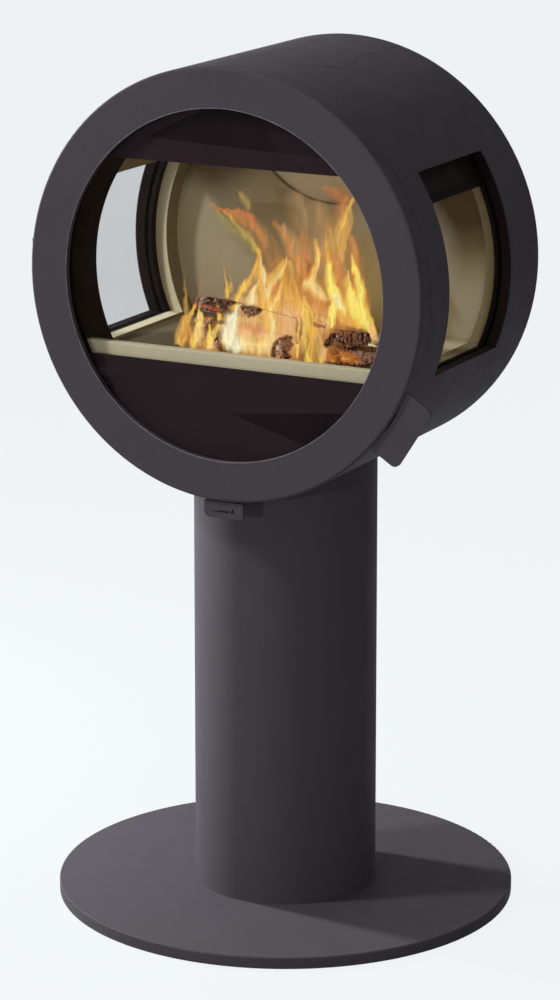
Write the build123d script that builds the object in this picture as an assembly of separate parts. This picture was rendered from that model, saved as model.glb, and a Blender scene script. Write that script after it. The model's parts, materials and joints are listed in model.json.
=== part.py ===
from build123d import *
import math
import os

# Pedestal wood stove: a short round body lying along Y on a round column and a round base plate.
# Millimetres. Origin at the centre of the base plate's underside, +Z up, the glass door faces -Y.
# Heights inside the body are counted from its axis, which is AXIS_Z above the floor.
os.makedirs("parts", exist_ok=True)

# Main sizes
BODY_R = 260.0
AXIS_Z = 793.0
FRONT_Y = -166.0
BACK_Y = 168.0
SHEET = 3.0
COLUMN_R = 112.7
BASE_R = 283.0
BASE_T = 14.0
FIT = 0.05
PLAY = 0.3
THROUGH = 1.0
FAR = 300.0

# Door
RING_DEPTH = 24.0
RING_IN_R = 211.0
RING_EDGE_R = 3.4
RING_INNER_EDGE_R = 1.0
LIP_T = 8.0
REBATE_R = 224.0
GLASS_R = 221.5
GLASS_T = 4.0
GLASS_SEAL_T = 1.0
SEAM = 1.0
PRINT_R = 216.0
PRINT_T = 0.4
PRINT_TOP_Z = 141.0
PRINT_LOW_Z = -99.7
ROPE_R = 4.0
ROPE_RING_R = 236.0
ROPE_GROOVE_DEPTH = 6.0
RING_BACK = FRONT_Y + RING_DEPTH
SEAT_Y = FRONT_Y + LIP_T
GLASS_BACK = SEAT_Y + GLASS_SEAL_T + GLASS_T

# Clips that hold the door glass
CLIP_COUNT = 6
CLIP_T = 1.5
CLIP_HALF = 8.0
CLIP_TOE_R = 216.8
CLIP_LEG_R = 222.1
CLIP_FOOT_R = 230.3
CLIP_SCREW_AT_R = 227.3
CLIP_SCREW_R = 2.0

# Handle and latch, in the radial frame at LATCH_ANGLE
LATCH_ANGLE = -32.5
PLATE_OUT_R = 296.0
PLATE_HALF = 42.5
PLATE_FRONT = FRONT_Y + 5.0
PLATE_T = 4.0
PLATE_GAP = 1.3
PLATE_CORNER_R = 8.0
PIVOT_R = 252.0
PIVOT_Y = PLATE_FRONT + PLATE_T
PIVOT_PIN_R = 2.5
POCKET_IN_R = 245.0
POCKET_HALF = 14.0
PIVOT_PIN_HALF = POCKET_HALF + 8.0
HOOK_OUT_R = 250.5
HOOK_T = 3.5
HOOK_HALF = 6.0
ARM_HALF = 8.0
ARM_OUT_R = 268.0
TOOTH_IN_R = 241.5
TOOTH_T = 4.5
NOTCH_IN_R = 245.5
NOTCH_HALF = 9.0

# Door hinge at nine o'clock
HINGE_X = -265.0
HINGE_Y = -130.0
KNUCKLE_R = 4.5
HINGE_PIN_R = 2.5
HINGE_LEAF_T = 2.5
KNUCKLE_SPLIT = 8.5
KNUCKLE_END = 32.0
KNUCKLE_GAP = 0.5
HINGE_ROOT_X = -250.0
BRACKET_END = -98.0

# Body
SHELL_FRONT = RING_BACK + SEAM
SHELL_IN_R = BODY_R - SHEET
FRAME_Y = -137.0
FRAME_T = 4.0
FRAME_BACK = FRAME_Y + FRAME_T
FRAME_IN_R = 218.5
THROAT_IN_R = 213.0
THROAT_T = 3.0
THROAT_END = -90.0

# Rear panel
PANEL_Y = BACK_Y - 4.0
PANEL_OUT_Y = PANEL_Y + SHEET
PANEL_SCREW_AT_R = 247.0
PANEL_SCREW_R = 2.5
PANEL_SCREW_COUNT = 8
LUG_T = 4.0
LUG_HALF = 9.0
VENT_LENGTH = 26.0
VENT_HEIGHT = 6.0
VENT_PITCH = 36.0
VENT_ROWS = ((-205.0, 6), (-188.0, 8), (-171.0, 9))

# Side windows
WIN_FRONT = -90.0
WIN_BACK = 88.0
WIN_TOP = 142.0
WIN_LOW = -98.0
WIN_SIGHT_TOP = 100.0
WIN_NEAR_X = 150.0
WIN_GLASS_IN_R = 242.5
WIN_GLASS_T = 4.0
WIN_GLASS_OUT_R = WIN_GLASS_IN_R + WIN_GLASS_T
WIN_TAPE_T = 1.0
WIN_BORDER = 12.0
WIN_REBATE = 8.0

# Firebox
CHAMBER_R = 240.0
CHAMBER_IN_R = CHAMBER_R - SHEET
CHAMBER_BACK = 150.0
LINER_OUT_R = 236.8
LINER_IN_R = 221.0
LINER_EDGE_Y = 99.0
LINER_CUT_TOP = 106.0
LINER_FRONT = -88.0
BACK_WALL_Y = 126.0
BACK_WALL_T = 20.0
FLOOR_Z = -101.0
SLAB_T = 25.0
CEILING_Z = 150.0
BAFFLE_T = 20.0
BAFFLE_FRONT = -35.0
SHELF_Z = 198.0
SHELF_BACK = 70.0
HEARTH_T = 4.0
HEARTH_Z = FLOOR_Z - SLAB_T
HEARTH_LOW = HEARTH_Z - HEARTH_T
BAR_TOP_Z = -87.7
BAR_FRONT = FRAME_Y
BAR_T = 12.0
BAR_EDGE_R = 1.5
BOARD_GAP = 0.5
NOTCH_R = 122.0
NOTCH_Z = 174.0
PLUG_RECESS = 8.0

# Flue outlets for a 150 mm pipe
FLUE_R = 75.2
FLUE_WALL = 2.0
FLUE_OUT_R = FLUE_R + FLUE_WALL
FLUE_Z = 158.0
FLUE_FLANGE_R = FLUE_R + 14.0
COLLAR_END = 215.0
SPIGOT_LOW_Z = 214.0
SPIGOT_TOP_Z = 238.0
BLANK_T = 2.5
TOP_COVER_R = 84.0
TONGUE_HALF = 72.0
COVER_GAP = 0.6
SEAT_HALF = 9.0
SEAT_T = 2.5

# Air supply and its control
AIR_R = 50.0
AIR_WALL = 2.5
BOX_FLOOR_Z = -224.0
BOX_FLOOR_T = 3.0
BOX_FLOOR_TOP = BOX_FLOOR_Z + BOX_FLOOR_T
BOX_HALF = 90.0
BOX_BACK = 70.0
RAIL_YS = (-131.5, -55.0)
RAIL_W = 2.0
TAB_HALF = 26.0
TAB_T = 4.5
TAB_FRONT = FRONT_Y + 5.2
TAB_BACK = TAB_FRONT + TAB_T
TAB_LOW_Z = -281.4
TAB_TOP_Z = -261.5
TAB_CORNER_R = 6.0
LEVER_HALF = 22.0
AIR_TRAVEL = 20.0
STEM_Y = -125.0
STEM_HALF = 10.0
STEM_T = 4.0
PORT_XS = (-36.0, 0.0, 36.0)
PORT_HALF = 8.0
PORT_Y0 = -84.0
PORT_Y1 = -66.0
SLIDE_HALF = 58.0
SLIDE_FRONT = -129.0
SLIDE_BACK = -56.0
SLIDE_T = 2.0
SLIDE_Z = BOX_FLOOR_TOP + PLAY / 2

# Foot and column
M8_R = 4.0
FOUR_UP = 45.0
FOOT_T = 6.0
FOOT_BORE_R = 62.0
FOOT_BOLT_R = 82.0
LEVEL_AT_R = 240.0
LEVEL_SCREW_R = 5.0
HEAD_Z = 500.0
HEAD_T = 5.0
HEAD_TOP = HEAD_Z + HEAD_T
HEAD_BOLT_R = 97.0
SADDLE_R = 88.0
SADDLE_T = 4.0
FLANGE_T = 4.0
FLANGE_R = HEAD_BOLT_R + 9.0
M8_ACROSS = 13.0
M8_HEAD_T = 5.3
M8_NUT_T = 6.5
HEX_KEY = 5.0


# Plain solids
def block(x0, x1, y0, y1, z0, z1):
    return Pos((x0 + x1) / 2, (y0 + y1) / 2, (z0 + z1) / 2) * Box(x1 - x0, y1 - y0, z1 - z0)


def body_block(x0, x1, y0, y1, z0, z1):
    """A block whose heights are counted from the body's axis."""
    return block(x0, x1, y0, y1, AXIS_Z + z0, AXIS_Z + z1)


def full_width(y0, y1, z0, z1):
    return body_block(-FAR, FAR, y0, y1, z0, z1)


def rod_y(radius, y0, y1, x=0.0, z=0.0):
    """A round bar along Y, its height counted from the body's axis."""
    return Pos(x, (y0 + y1) / 2, AXIS_Z + z) * Rot(90, 0, 0) * Cylinder(radius, y1 - y0)


def long_rod_y(radius):
    return rod_y(radius, -FAR, FAR)


def pipe_y(outer, inner, y0, y1, z=0.0):
    return rod_y(outer, y0, y1, z=z) - rod_y(inner, y0 - THROUGH, y1 + THROUGH, z=z)


def rod_z(radius, z0, z1, x=0.0, y=0.0):
    return Pos(x, y, (z0 + z1) / 2) * Cylinder(radius, z1 - z0)


def pipe_z(outer, inner, z0, z1):
    return rod_z(outer, z0, z1) - rod_z(inner, z0 - THROUGH, z1 + THROUGH)


def hole_z(radius, z0, z1, x=0.0, y=0.0):
    return rod_z(radius, z0 - THROUGH, z1 + THROUGH, x, y)


def hexagon(across_flats, z0, z1, x=0.0, y=0.0):
    outline = RegularPolygon(across_flats / math.sqrt(3), 6)
    return Pos(x, y, z0) * extrude(outline, z1 - z0)


def group(solids):
    """Separate solids that share one node."""
    return Compound(children=list(solids))


def ring_angles(count, first=0.0):
    return [first + 360.0 * i / count for i in range(count)]


def polar(radius, angle):
    return radius * math.cos(math.radians(angle)), radius * math.sin(math.radians(angle))


# In the radial frame X is the radius, Y is the body's depth and Z is the tangent.
def turned_to(angle, shape):
    """Takes a shape from the radial frame to its angle on the round body."""
    return Pos(0, 0, AXIS_Z) * Rot(0, -angle, 0) * shape


def tangent_bar(radius, half):
    """A round bar along the tangent, on the handle's pivot."""
    return Pos(PIVOT_R, PIVOT_Y, 0) * Cylinder(radius, 2 * half)


def radial_rod_y(radius, r, y0, y1):
    return Pos(r, (y0 + y1) / 2, 0) * Rot(90, 0, 0) * Cylinder(radius, y1 - y0)


# Foot and column
def base_plate():
    edge_r = 1.5
    sink_r, sink_depth = 8.0, 5.0
    well_depth = 10.0
    plate = fillet(rod_z(BASE_R, 0, BASE_T).edges().group_by(Axis.Z)[-1], edge_r)
    plate -= hole_z(AIR_R + 0.5, 0, BASE_T)
    for angle in ring_angles(4, FOUR_UP):
        x, y = polar(FOOT_BOLT_R, angle)
        plate -= hole_z(M8_R + FIT, 0, BASE_T, x, y)
        plate -= Pos(x, y, sink_depth / 2) * Cone(sink_r + FIT, M8_R + FIT, sink_depth)
        plate -= rod_z(LEVEL_SCREW_R + FIT, -THROUGH, well_depth, *polar(LEVEL_AT_R, angle))
    return plate


def levelling_screws():
    low, top, socket_top = 0.5, 9.0, 4.0
    screws = []
    for angle in ring_angles(4, FOUR_UP):
        x, y = polar(LEVEL_AT_R, angle)
        screws.append(rod_z(LEVEL_SCREW_R, low, top, x, y) - hexagon(HEX_KEY, 0, socket_top, x, y))
    return group(screws)


def foot_screws():
    head_r, head_low, head_top = 7.6, 0.5, 5.0
    screws = []
    for angle in ring_angles(4, FOUR_UP):
        x, y = polar(FOOT_BOLT_R, angle)
        head = Pos(x, y, (head_low + head_top) / 2) * Cone(head_r, M8_R, head_top - head_low)
        shank = rod_z(M8_R, head_top - 0.1, BASE_T + FOOT_T, x, y)
        screws.append(head + shank - hexagon(HEX_KEY, 0, 3.0, x, y))
    return group(screws)


def column_foot_ring():
    ring = pipe_z(COLUMN_R - SHEET, FOOT_BORE_R, BASE_T, BASE_T + FOOT_T)
    for angle in ring_angles(4, FOUR_UP):
        ring -= hole_z(M8_R + FIT, BASE_T, BASE_T + FOOT_T, *polar(FOOT_BOLT_R, angle))
    return ring


def column_tube():
    inside_body = AXIS_Z - 200
    return pipe_z(COLUMN_R, COLUMN_R - SHEET, BASE_T, inside_body) - long_rod_y(BODY_R)


def column_head_plate():
    plate = pipe_z(COLUMN_R - SHEET, AIR_R + 1.0, HEAD_Z, HEAD_TOP)
    for angle in ring_angles(4):
        plate -= hole_z(M8_R + FIT, HEAD_Z, HEAD_TOP, *polar(HEAD_BOLT_R, angle))
    return plate


def body_saddle():
    inside_body = AXIS_Z - 200
    saddle = pipe_z(SADDLE_R, SADDLE_R - SADDLE_T, HEAD_TOP, inside_body)
    saddle += pipe_z(FLANGE_R, SADDLE_R - SADDLE_T, HEAD_TOP, HEAD_TOP + FLANGE_T)
    saddle -= long_rod_y(BODY_R)
    for angle in ring_angles(4):
        saddle -= hole_z(M8_R + FIT, HEAD_TOP, HEAD_TOP + FLANGE_T, *polar(HEAD_BOLT_R, angle))
    return saddle


def saddle_bolts():
    seat = HEAD_TOP + FLANGE_T
    tip = HEAD_Z - M8_NUT_T - 1.5
    bolts = []
    for angle in ring_angles(4):
        x, y = polar(HEAD_BOLT_R, angle)
        bolts.append(hexagon(M8_ACROSS, seat, seat + M8_HEAD_T, x, y) + rod_z(M8_R, tip, seat, x, y))
    return group(bolts)


def saddle_nuts():
    low = HEAD_Z - M8_NUT_T
    nuts = []
    for angle in ring_angles(4):
        x, y = polar(HEAD_BOLT_R, angle)
        nuts.append(hexagon(M8_ACROSS, low, HEAD_Z, x, y) - hole_z(M8_R + FIT, low, HEAD_Z, x, y))
    return group(nuts)


def air_pipe():
    above_floor = 2.0
    return pipe_z(AIR_R, AIR_R - AIR_WALL, above_floor, AXIS_Z + BOX_FLOOR_Z)


# Outer body
def side_box(side, y0, y1, z0, z1):
    """A box that reaches out through the body's wall at one side."""
    near, far = sorted((side * WIN_NEAR_X, side * FAR))
    return body_block(near, far, y0, y1, z0, z1)


def window_opening(side, low, top):
    return side_box(side, WIN_FRONT, WIN_BACK, low, top)


def both_windows(low, top):
    return window_opening(-1, low, top) + window_opening(1, low, top)


def keyhole(grow=0.0):
    """The outline of the top outlet: a circle and a tongue that runs to the back edge."""
    low, top = AXIS_Z + 100, AXIS_Z + FAR
    circle = rod_z(TOP_COVER_R + grow, low, top)
    return circle + block(-TONGUE_HALF - grow, TONGUE_HALF + grow, 0, BACK_Y + 10, low, top)


def stem_slot(z0, z1):
    """The slot that the lever's stem moves in."""
    half = STEM_HALF + AIR_TRAVEL + 1.5
    half_width = STEM_T / 2 + 1.5
    return body_block(-half, half, STEM_Y - half_width, STEM_Y + half_width, z0, z1)


def shell_tube():
    return pipe_y(BODY_R, SHELL_IN_R, SHELL_FRONT, BACK_Y)


def body_shell():
    shell = shell_tube() - both_windows(WIN_LOW, WIN_TOP) - keyhole()
    shell -= rod_z(AIR_R + 1.0, AXIS_Z - FAR, AXIS_Z - 200)
    return shell - stem_slot(-FAR, -200)


def top_cover():
    return shell_tube() & keyhole(-COVER_GAP)


def top_cover_seat():
    """A strip under the joint between the shell and its cover."""
    strip = keyhole(SEAT_HALF) - keyhole(-SEAT_HALF)
    return pipe_y(SHELL_IN_R, SHELL_IN_R - SEAT_T, SHELL_FRONT, BACK_Y - 10) & strip


def panel_screw_angles():
    return ring_angles(PANEL_SCREW_COUNT, 180.0 / PANEL_SCREW_COUNT)


def vent_row(z, count):
    slots = []
    for i in range(count):
        x = (i - (count - 1) / 2) * VENT_PITCH
        outline = Pos(x, PANEL_Y, AXIS_Z + z) * Rot(90, 0, 0) * SlotOverall(VENT_LENGTH, VENT_HEIGHT)
        slots.append(extrude(outline, 2 * SHEET, both=True))
    return slots


def rear_panel():
    panel = rod_y(SHELL_IN_R - 0.2, PANEL_Y, PANEL_OUT_Y)
    panel -= rod_y(FLUE_OUT_R + 0.8, PANEL_Y - THROUGH, PANEL_OUT_Y + THROUGH, z=FLUE_Z)
    for z, count in VENT_ROWS:
        for slot in vent_row(z, count):
            panel -= slot
    hole = radial_rod_y(PANEL_SCREW_R + FIT, PANEL_SCREW_AT_R, PANEL_Y - THROUGH, PANEL_OUT_Y + THROUGH)
    for angle in panel_screw_angles():
        panel -= turned_to(angle, hole)
    return panel


def panel_lugs():
    inner_r = 240.5
    lug = block(inner_r, BODY_R, PANEL_Y - LUG_T, PANEL_Y, -LUG_HALF, LUG_HALF)
    lug -= radial_rod_y(PANEL_SCREW_R + FIT, PANEL_SCREW_AT_R, PANEL_Y - LUG_T - THROUGH, PANEL_Y + THROUGH)
    return group([turned_to(angle, lug) & long_rod_y(SHELL_IN_R) for angle in panel_screw_angles()])


def panel_screws():
    head_r, head_t, head_edge_r = 4.6, 2.6, 1.6
    key, key_depth = 3.0, 1.6
    top = PANEL_OUT_Y + head_t
    head = radial_rod_y(head_r, PANEL_SCREW_AT_R, PANEL_OUT_Y, top)
    head = fillet(head.edges().group_by(Axis.Y)[-1], head_edge_r)
    screw = head + radial_rod_y(PANEL_SCREW_R, PANEL_SCREW_AT_R, PANEL_Y - LUG_T, PANEL_OUT_Y)
    screw -= Pos(PANEL_SCREW_AT_R, top, 0) * Rot(90, 0, 0) * hexagon(key, -key_depth, key_depth)
    return group([turned_to(angle, screw) for angle in panel_screw_angles()])


def flue_collar():
    collar = pipe_y(FLUE_OUT_R, FLUE_R, CHAMBER_BACK - SHEET, COLLAR_END, z=FLUE_Z)
    return collar + pipe_y(FLUE_FLANGE_R, FLUE_R, CHAMBER_BACK, CHAMBER_BACK + FLUE_WALL, z=FLUE_Z)


def front_frame():
    plate = pipe_y(SHELL_IN_R - 0.2, FRAME_IN_R, FRAME_Y, FRAME_BACK)
    notch = block(NOTCH_IN_R, FAR, FRAME_Y - THROUGH, FRAME_BACK + THROUGH, -NOTCH_HALF, NOTCH_HALF)
    return plate - turned_to(LATCH_ANGLE, notch)


def throat_cone(grow=0.0):
    """A cone that narrows from the front frame's hole to the firebox."""
    cone = Cone(THROAT_IN_R + grow, FRAME_IN_R + grow, THROAT_END - FRAME_BACK)
    return Pos(0, (FRAME_BACK + THROAT_END) / 2, AXIS_Z) * Rot(90, 0, 0) * cone


def throat_ring():
    """The lining of the throat, which is open below the hearth plate, where the air comes in."""
    return (throat_cone(THROAT_T) - throat_cone()) & full_width(FRAME_BACK, THROAT_END, HEARTH_LOW, FAR)


def throat_room(play=0.0):
    """The room inside the front frame and the throat, up to the boards behind them."""
    front = rod_y(FRAME_IN_R - play, FRAME_Y, FRAME_BACK)
    return front + throat_cone(-play) + rod_y(THROAT_IN_R - play, THROAT_END, THROAT_END + BOARD_GAP)


# Side windows
def curved_panel(side, inner, outer, y0, y1, z0, z1):
    """A piece of a cylinder wall at one side of the body."""
    return pipe_y(outer, inner, y0, y1) & side_box(side, y0, y1, z0, z1)


def window_panel(side, inner, outer, border, top=WIN_TOP):
    """A curved piece that overlaps the window opening by border all round."""
    return curved_panel(side, inner, outer, WIN_FRONT - border, WIN_BACK + border,
                        WIN_LOW - border, top + border)


def window_frame(side):
    frame = window_panel(side, CHAMBER_R, SHELL_IN_R, WIN_BORDER)
    frame -= window_opening(side, WIN_LOW, WIN_TOP)
    return frame - window_panel(side, CHAMBER_R - 5, WIN_GLASS_OUT_R + WIN_TAPE_T, WIN_REBATE)


def window_glass(side):
    return window_panel(side, WIN_GLASS_IN_R, WIN_GLASS_OUT_R, WIN_REBATE - PLAY)


def window_tape(side, inner, outer, top):
    return window_panel(side, inner, outer, WIN_REBATE - PLAY, top) - window_opening(side, WIN_LOW, top)


def window_seals():
    outer = [window_tape(s, WIN_GLASS_OUT_R, WIN_GLASS_OUT_R + WIN_TAPE_T, WIN_TOP) for s in (-1, 1)]
    inner = [window_tape(s, CHAMBER_R, WIN_GLASS_IN_R, WIN_SIGHT_TOP) for s in (-1, 1)]
    return group(outer + inner)


# Firebox
def chamber_tube():
    return pipe_y(CHAMBER_R, CHAMBER_IN_R, FRAME_BACK, CHAMBER_BACK)


def chamber_roof():
    roof = chamber_tube() & full_width(-FAR, FAR, WIN_SIGHT_TOP, FAR)
    return roof - rod_z(FLUE_OUT_R, AXIS_Z + CEILING_Z, AXIS_Z + FAR)


def chamber_belly():
    belly = chamber_tube() & full_width(-FAR, FAR, -FAR, WIN_LOW)
    return belly - rod_z(AIR_R, AXIS_Z - FAR, AXIS_Z - 200) - stem_slot(-FAR, -200)


def chamber_posts():
    """The four strips of the firebox wall beside the windows, between the roof and the belly."""
    posts = []
    for side in (-1, 1):
        for y0, y1 in ((FRAME_BACK, WIN_FRONT), (WIN_BACK, CHAMBER_BACK)):
            posts.append(chamber_tube() & side_box(side, y0, y1, WIN_LOW, WIN_SIGHT_TOP))
    return group(posts)


def chamber_back():
    plate = rod_y(CHAMBER_IN_R, CHAMBER_BACK - SHEET, CHAMBER_BACK)
    return plate - rod_y(FLUE_OUT_R, 0, FAR, z=FLUE_Z)


def top_spigot():
    return pipe_z(FLUE_OUT_R, FLUE_R, AXIS_Z + SPIGOT_LOW_Z, AXIS_Z + SPIGOT_TOP_Z)


def top_blanking_plate():
    return rod_z(FLUE_OUT_R, AXIS_Z + SPIGOT_TOP_Z, AXIS_Z + SPIGOT_TOP_Z + BLANK_T)


def hearth_plate():
    split = THROAT_END + BOARD_GAP
    rear = full_width(split, BACK_WALL_Y + BACK_WALL_T, HEARTH_LOW, HEARTH_Z) & long_rod_y(CHAMBER_IN_R)
    front = full_width(FRAME_BACK, split, HEARTH_LOW, HEARTH_Z) & throat_room()
    return rear + front


def floor_slab():
    split = THROAT_END + BOARD_GAP
    front_y = BAR_FRONT + BAR_T + BOARD_GAP
    rear = full_width(split, BACK_WALL_Y, HEARTH_Z, FLOOR_Z) & long_rod_y(LINER_IN_R - PLAY)
    front = full_width(front_y, split, HEARTH_Z, FLOOR_Z) & throat_room(PLAY)
    return rear + front


def front_bar():
    bar = full_width(BAR_FRONT, BAR_FRONT + BAR_T, HEARTH_Z, BAR_TOP_Z) & throat_room(PLAY)
    return fillet(bar.edges().filter_by(Axis.X).group_by(Axis.Z)[-1], BAR_EDGE_R)


def side_liner(side):
    liner = curved_panel(side, LINER_IN_R, LINER_OUT_R, LINER_FRONT, BACK_WALL_Y, HEARTH_Z, CEILING_Z)
    return liner - side_box(side, WIN_FRONT, LINER_EDGE_Y, WIN_LOW, LINER_CUT_TOP)


def notch_bar(radius):
    return rod_y(radius, 0, FAR, z=NOTCH_Z)


def back_liner():
    wall = rod_y(LINER_OUT_R, BACK_WALL_Y, BACK_WALL_Y + BACK_WALL_T)
    return (wall & full_width(0, FAR, HEARTH_Z, CEILING_Z)) - notch_bar(NOTCH_R)


def back_liner_plug():
    plug = full_width(BACK_WALL_Y + PLUG_RECESS, BACK_WALL_Y + BACK_WALL_T, 0, CEILING_Z)
    return plug & notch_bar(NOTCH_R - BOARD_GAP)


def baffle_slab():
    slab = full_width(BAFFLE_FRONT, BACK_WALL_Y + BACK_WALL_T, CEILING_Z, CEILING_Z + BAFFLE_T)
    return slab & long_rod_y(LINER_OUT_R - 1)


def smoke_shelf():
    shelf = full_width(THROAT_END + 2, SHELF_BACK, SHELF_Z, SHELF_Z + SHEET)
    return shelf & long_rod_y(CHAMBER_IN_R)


def split_log(length, radius, centre, yaw, roll, pitch=0.0):
    """A split log: a round bar with one flat cut side, lying along X before it is turned."""
    bar = Rot(0, 90, 0) * Cylinder(radius, length)
    bar -= Pos(0, 0, radius * 1.45) * Box(length + 2, radius * 3, radius * 2)
    x, y, above_floor = centre
    return Pos(x, y, AXIS_Z + FLOOR_Z + above_floor) * Rot(0, 0, yaw) * Rot(0, pitch, 0) * Rot(roll, 0, 0) * bar


def firewood_logs():
    """Six pieces on the firebox floor, and two that lie across them."""
    return group([
        split_log(196, 15.5, (4, -28, 15.6), yaw=6, roll=75),
        split_log(150, 12.0, (20, 8, 12.1), yaw=4, roll=-70),
        split_log(38, 8.5, (-44, -71, 8.6), yaw=80, roll=60),
        split_log(50, 13.5, (50, -70, 13.6), yaw=72, roll=50),
        split_log(74, 10.0, (124, -73, 10.1), yaw=4, roll=70),
        split_log(44, 12.0, (142, -33, 12.1), yaw=70, roll=-65),
        split_log(190, 9.5, (-31, 4, 35.6), yaw=-4, roll=70, pitch=1.5),
        split_log(54, 9.0, (119, -66, 31.6), yaw=8, roll=-60, pitch=-5),
    ])


# Air supply
def air_ports(z0, z1):
    return [body_block(x - PORT_HALF, x + PORT_HALF, PORT_Y0, PORT_Y1, z0, z1) for x in PORT_XS]


def air_box():
    rail_h = 3.0
    box = body_block(-BOX_HALF, BOX_HALF, FRAME_BACK, BOX_BACK, BOX_FLOOR_Z, BOX_FLOOR_TOP)
    for y in RAIL_YS:
        box += body_block(-BOX_HALF, BOX_HALF, y, y + RAIL_W, BOX_FLOOR_TOP, BOX_FLOOR_TOP + rail_h)
    box += body_block(-BOX_HALF, BOX_HALF, BOX_BACK - SHEET, BOX_BACK, BOX_FLOOR_TOP, HEARTH_LOW)
    box -= stem_slot(BOX_FLOOR_Z - THROUGH, BOX_FLOOR_TOP + THROUGH)
    for port in air_ports(BOX_FLOOR_Z - THROUGH, BOX_FLOOR_TOP + THROUGH):
        box -= port
    return box & long_rod_y(CHAMBER_IN_R)


def stem_block(z0, z1):
    return body_block(-STEM_HALF, STEM_HALF, STEM_Y - STEM_T / 2, STEM_Y + STEM_T / 2, z0, z1)


def air_slide():
    plate = body_block(-SLIDE_HALF, SLIDE_HALF, SLIDE_FRONT, SLIDE_BACK, SLIDE_Z, SLIDE_Z + SLIDE_T)
    plate -= stem_block(SLIDE_Z - THROUGH, SLIDE_Z + SLIDE_T + THROUGH)
    for port in air_ports(SLIDE_Z - THROUGH, SLIDE_Z + SLIDE_T + THROUGH):
        plate -= port
    return plate


def air_lever():
    tab = body_block(-TAB_HALF, TAB_HALF, TAB_FRONT, TAB_BACK, TAB_LOW_Z, TAB_TOP_Z)
    tab = fillet(tab.edges().filter_by(Axis.Y).group_by(Axis.Z)[0], TAB_CORNER_R)
    arm_low = TAB_TOP_Z - SHEET
    arm = body_block(-LEVER_HALF, LEVER_HALF, TAB_BACK, STEM_Y + STEM_T / 2, arm_low, TAB_TOP_Z)
    return tab + arm + stem_block(arm_low, SLIDE_Z + SLIDE_T)


# Door
def latch_pocket():
    pocket_front = FRONT_Y + 4.5
    pocket = block(POCKET_IN_R, FAR, pocket_front, RING_BACK + THROUGH, -POCKET_HALF, POCKET_HALF)
    return turned_to(LATCH_ANGLE, pocket + tangent_bar(PIVOT_PIN_R + FIT, PIVOT_PIN_HALF + THROUGH))


def front_circles(ring):
    return ring.edges().filter_by(GeomType.CIRCLE).group_by(Axis.Y)[0].sort_by(SortBy.RADIUS)


def clip_screw_hole():
    return radial_rod_y(CLIP_SCREW_R + FIT, CLIP_SCREW_AT_R, RING_BACK - 8, RING_BACK + CLIP_T + THROUGH)


def door_ring():
    ring = pipe_y(BODY_R, RING_IN_R, FRONT_Y, RING_BACK)
    ring = fillet(front_circles(ring)[-1:], RING_EDGE_R)
    ring = fillet(front_circles(ring)[:1], RING_INNER_EDGE_R)
    ring -= rod_y(REBATE_R, SEAT_Y, RING_BACK + THROUGH)
    groove_half = ROPE_R + 1.0
    ring -= pipe_y(ROPE_RING_R + groove_half, ROPE_RING_R - groove_half,
                   RING_BACK - ROPE_GROOVE_DEPTH, RING_BACK + THROUGH)
    ring -= latch_pocket()
    for angle in ring_angles(CLIP_COUNT):
        ring -= turned_to(angle, clip_screw_hole())
    return ring


def door_glass():
    return rod_y(GLASS_R, SEAT_Y + GLASS_SEAL_T, GLASS_BACK)


def glass_print():
    """The printed bands on the back of the glass, above and below the view of the fire."""
    disc = rod_y(PRINT_R, GLASS_BACK, GLASS_BACK + PRINT_T)
    upper = disc & full_width(-FAR, 0, PRINT_TOP_Z, FAR)
    lower = disc & full_width(-FAR, 0, -FAR, PRINT_LOW_Z)
    return group([upper, lower])


def glass_seal():
    return pipe_y(GLASS_R, RING_IN_R + 1.5, SEAT_Y, SEAT_Y + GLASS_SEAL_T)


def glass_clips():
    toe = block(CLIP_TOE_R, CLIP_LEG_R + CLIP_T, GLASS_BACK, GLASS_BACK + CLIP_T, -CLIP_HALF, CLIP_HALF)
    leg = block(CLIP_LEG_R, CLIP_LEG_R + CLIP_T, GLASS_BACK, RING_BACK, -CLIP_HALF, CLIP_HALF)
    foot = block(CLIP_LEG_R, CLIP_FOOT_R, RING_BACK, RING_BACK + CLIP_T, -CLIP_HALF, CLIP_HALF)
    clip = toe + leg + foot - clip_screw_hole()
    return group([turned_to(angle, clip) for angle in ring_angles(CLIP_COUNT)])


def glass_clip_screws():
    head_r, head_t = 2.9, 1.8
    out = RING_BACK + CLIP_T
    screw = radial_rod_y(head_r, CLIP_SCREW_AT_R, out, out + head_t)
    screw += radial_rod_y(CLIP_SCREW_R, CLIP_SCREW_AT_R, RING_BACK - 7, out)
    return group([turned_to(angle, screw) for angle in ring_angles(CLIP_COUNT)])


def door_rope():
    to_frame = 0.4
    return Pos(0, FRAME_Y - ROPE_R - to_frame, AXIS_Z) * Rot(90, 0, 0) * Torus(ROPE_RING_R, ROPE_R)


def hinge_bar(radius, z0, z1):
    return Pos(HINGE_X, HINGE_Y, AXIS_Z + (z0 + z1) / 2) * Cylinder(radius, z1 - z0)


def hinge_hole(z0, z1):
    return hinge_bar(HINGE_PIN_R + FIT, z0 - THROUGH, z1 + THROUGH)


def hinge_leaf(z0, z1):
    """One leaf: a foot on the back of the ring, a neck and a knuckle."""
    outer_x, front_y = HINGE_X - KNUCKLE_R, RING_BACK - 3.5
    neck = body_block(outer_x, HINGE_X + HINGE_LEAF_T, front_y, HINGE_Y, z0, z1)
    foot = body_block(outer_x, HINGE_ROOT_X, front_y, RING_BACK, z0, z1) - long_rod_y(BODY_R)
    return neck + foot + hinge_bar(KNUCKLE_R, z0, z1) - hinge_hole(z0, z1)


def door_hinge_leaves():
    near = KNUCKLE_SPLIT + KNUCKLE_GAP
    return group([hinge_leaf(near, KNUCKLE_END), hinge_leaf(-KNUCKLE_END, -near)])


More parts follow.
